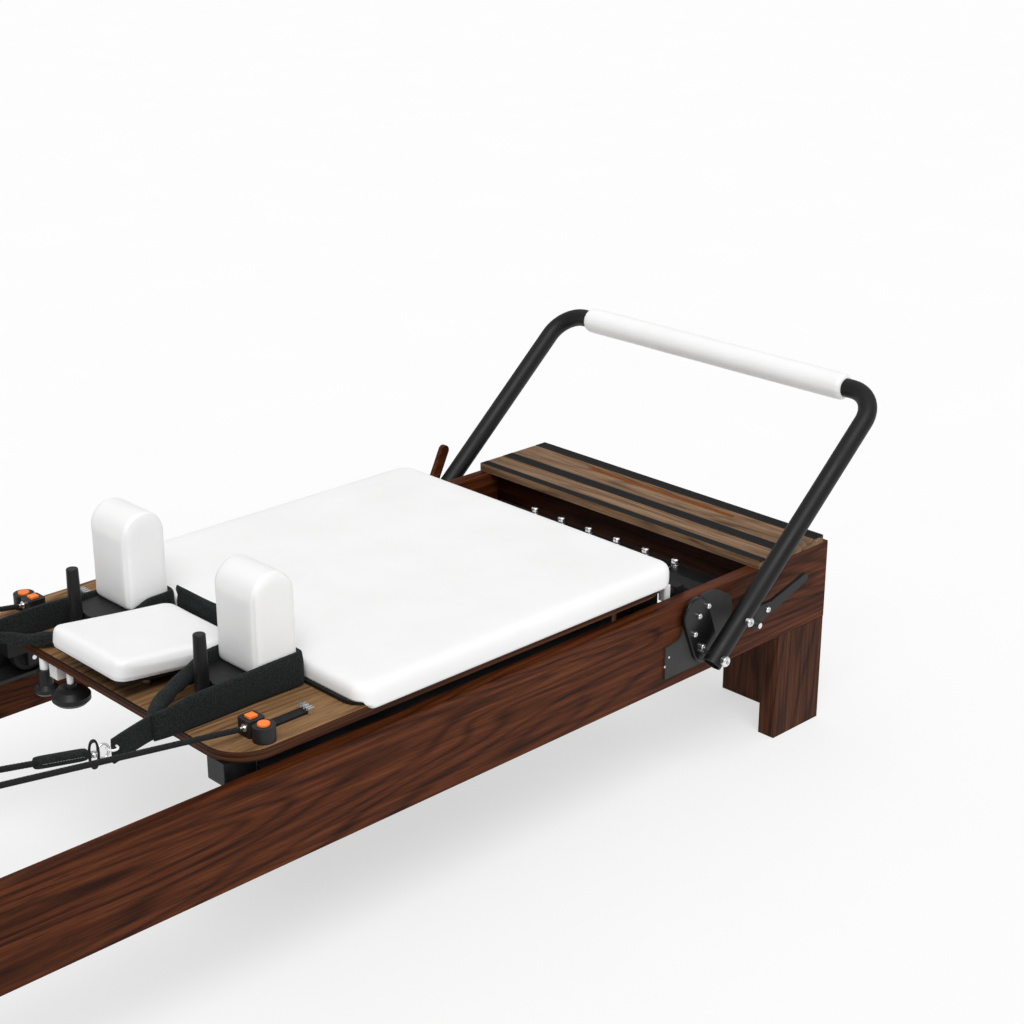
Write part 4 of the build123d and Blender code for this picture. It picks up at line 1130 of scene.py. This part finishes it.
def make_springs():
    """Close-wound coils with a straight lead and an eye at each end."""
    posts = [POST_PITCH * (k - (POST_COUNT - 1) / 2) for k in range(POST_COUNT)]
    z = SPRING_Z
    x0, x1 = ANCHOR_X + 0.042, back(262)
    steps = round((x1 - x0) / (2.06 * SPRING_WIRE)) * 12
    for number, y in enumerate(posts):
        points = []
        for k in range(steps + 1):
            across, high = [COIL_RADIUS * turn(math.tau * k / 12) for turn in (math.cos, math.sin)]
            points.append(Vector((x0 + (x1 - x0) * k / steps, y + across, z + high)))
        start = [Vector((ANCHOR_X + EYE_RADIUS, y, z)), Vector((x0 - 0.004, y, z))]
        end = [Vector((x1 + 0.004, y, z)), Vector((POST_X - EYE_RADIUS, y, z))]
        section = circle_section(SPRING_WIRE, 6)
        spring = sweep(f"spring_coil_{number + 1}", start + points + end, section, "wire")
        join_eyes(spring, y, z)
        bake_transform(spring)
        if number == 0:
            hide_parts("springs")


def join_eyes(spring, y, z):
    """Add the ring of wire round each post and round the anchor bar's pin."""
    mesh = bmesh.new()
    mesh.from_mesh(spring.data)
    for x in (POST_X, ANCHOR_X):
        ring = [Vector((x + EYE_RADIUS * math.cos(a), y + EYE_RADIUS * math.sin(a), z)) for a in turns(28)]
        rows = []
        for k, point in enumerate(ring):
            out = (point - Vector((x, y, z))).normalized()
            spokes = [out * math.cos(a) + Vector((0, 0, 1)) * math.sin(a) for a in turns(8)]
            rows.append([mesh.verts.new(point + spoke * SPRING_WIRE) for spoke in spokes])
        for k in range(28):
            for j in range(8):
                here, after = rows[k], rows[(k + 1) % 28]
                face = mesh.faces.new((here[j], here[(j + 1) % 8], after[(j + 1) % 8], after[j]))
                face.smooth = True
    mesh.to_mesh(spring.data)
    mesh.free()


# -------- bolt faces
BOLT_PROFILE = ((1.00, 0.0), (0.99, 0.25), (0.93, 0.55), (0.80, 0.85), (0.66, 1.0), (0.52, 1.0))
PIVOT_X, PIVOT_Z = back(348), 0.2475
BLOCK_BOLTS = ((2.5, 88), (-20, 76), (-30, 45.5), (-9, 16))
BLOCK_FACE, TUBE_FACE = 0.3701, 0.4141
BAR_ANGLE, LATCH_REACH = math.radians(41.25), 0.081
LEVER_BOLT = Vector((back(205), -0.3851, 0.2912))


def bolt_face(verts, faces, centre, out, radius, dome):
    """A domed button head with a hexagon socket, on the outer face of a plain bolt head."""
    axis = Vector((0, out, 0))
    right, up = Vector((1, 0, 0)), Vector((0, 0, 1))
    base = len(verts)
    sides = 24
    for share, lift in BOLT_PROFILE:
        for a in turns(sides):
            spoke = (right * math.cos(a) + up * math.sin(a)) * radius
            verts.append(centre + spoke * share + axis * dome * lift)
    for depth in (1.0, -0.2):
        for a in turns(sides):
            flat = math.cos(math.pi / 6) / math.cos((a % (math.pi / 3)) - math.pi / 6)
            reach = radius * 0.48 * flat
            verts.append(centre + (right * math.cos(a) + up * math.sin(a)) * reach + axis * dome * depth)
    for row in range(len(BOLT_PROFILE) + 1):
        for k in range(sides):
            a, b = base + row * sides + k, base + row * sides + (k + 1) % sides
            faces.append((a, b, b + sides, a + sides) if out < 0 else (b, a, a + sides, b + sides))
    floor = tuple(base + (len(BOLT_PROFILE) + 1) * sides + k for k in range(sides))
    faces.append(floor if out < 0 else tuple(reversed(floor)))


def make_bolt_faces():
    for side_name, side in REST_SIDES.items():
        verts, faces = [], []
        for dx, dz in BLOCK_BOLTS:
            centre = Vector((PIVOT_X + dx * MM, side * BLOCK_FACE, PIVOT_Z + dz * MM))
            bolt_face(verts, faces, centre, side, 0.0048, 0.0020)
        caps = new_piece(f"cam_bolt_faces_{side_name}", verts, faces, "chrome")
        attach(caps, "frame")
    _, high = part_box("footbar_bolts")
    latch_x = PIVOT_X + LATCH_REACH * math.cos(BAR_ANGLE)
    latch_z = PIVOT_Z + LATCH_REACH * math.sin(BAR_ANGLE)
    verts, faces = [], []
    for side in (-1, 1):
        bolt_face(verts, faces, Vector((PIVOT_X, side * TUBE_FACE, PIVOT_Z)), side, 0.0092, 0.0030)
    bolt_face(verts, faces, Vector((latch_x, -TUBE_FACE, latch_z)), -1, 0.0077, 0.0028)
    bolt_face(verts, faces, Vector((latch_x, high.y, latch_z)), 1, 0.0077, 0.0028)
    caps = new_piece("footbar_bolt_faces", verts, faces, "chrome")
    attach(caps, "footbar")
    verts, faces = [], []
    bolt_face(verts, faces, LEVER_BOLT, -1, 0.0058, 0.0040)
    cap = new_piece("lever_bolt_face", verts, faces, "chrome")
    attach(cap, "latch_lever_near")


# -------- put it together
SCENE.view_settings.view_transform = "Standard"
make_camera()
make_world(0.505)
make_sun("key", (0.45, 0.55, -1.0), 1.82, 36)
make_sun("top", (-0.15, 0.1, -1.0), 0.38, 120)
make_floor()
dress_frame()
for side in REST_SIDES:
    make_rope(side)
make_cushion()
make_headrest()
for side in REST_SIDES:
    make_rest(side)
    make_strap(side)
    make_snap(side)
make_underframe_shade_bars()
make_bolt_faces()
make_grip()
make_link_band()
make_springs()
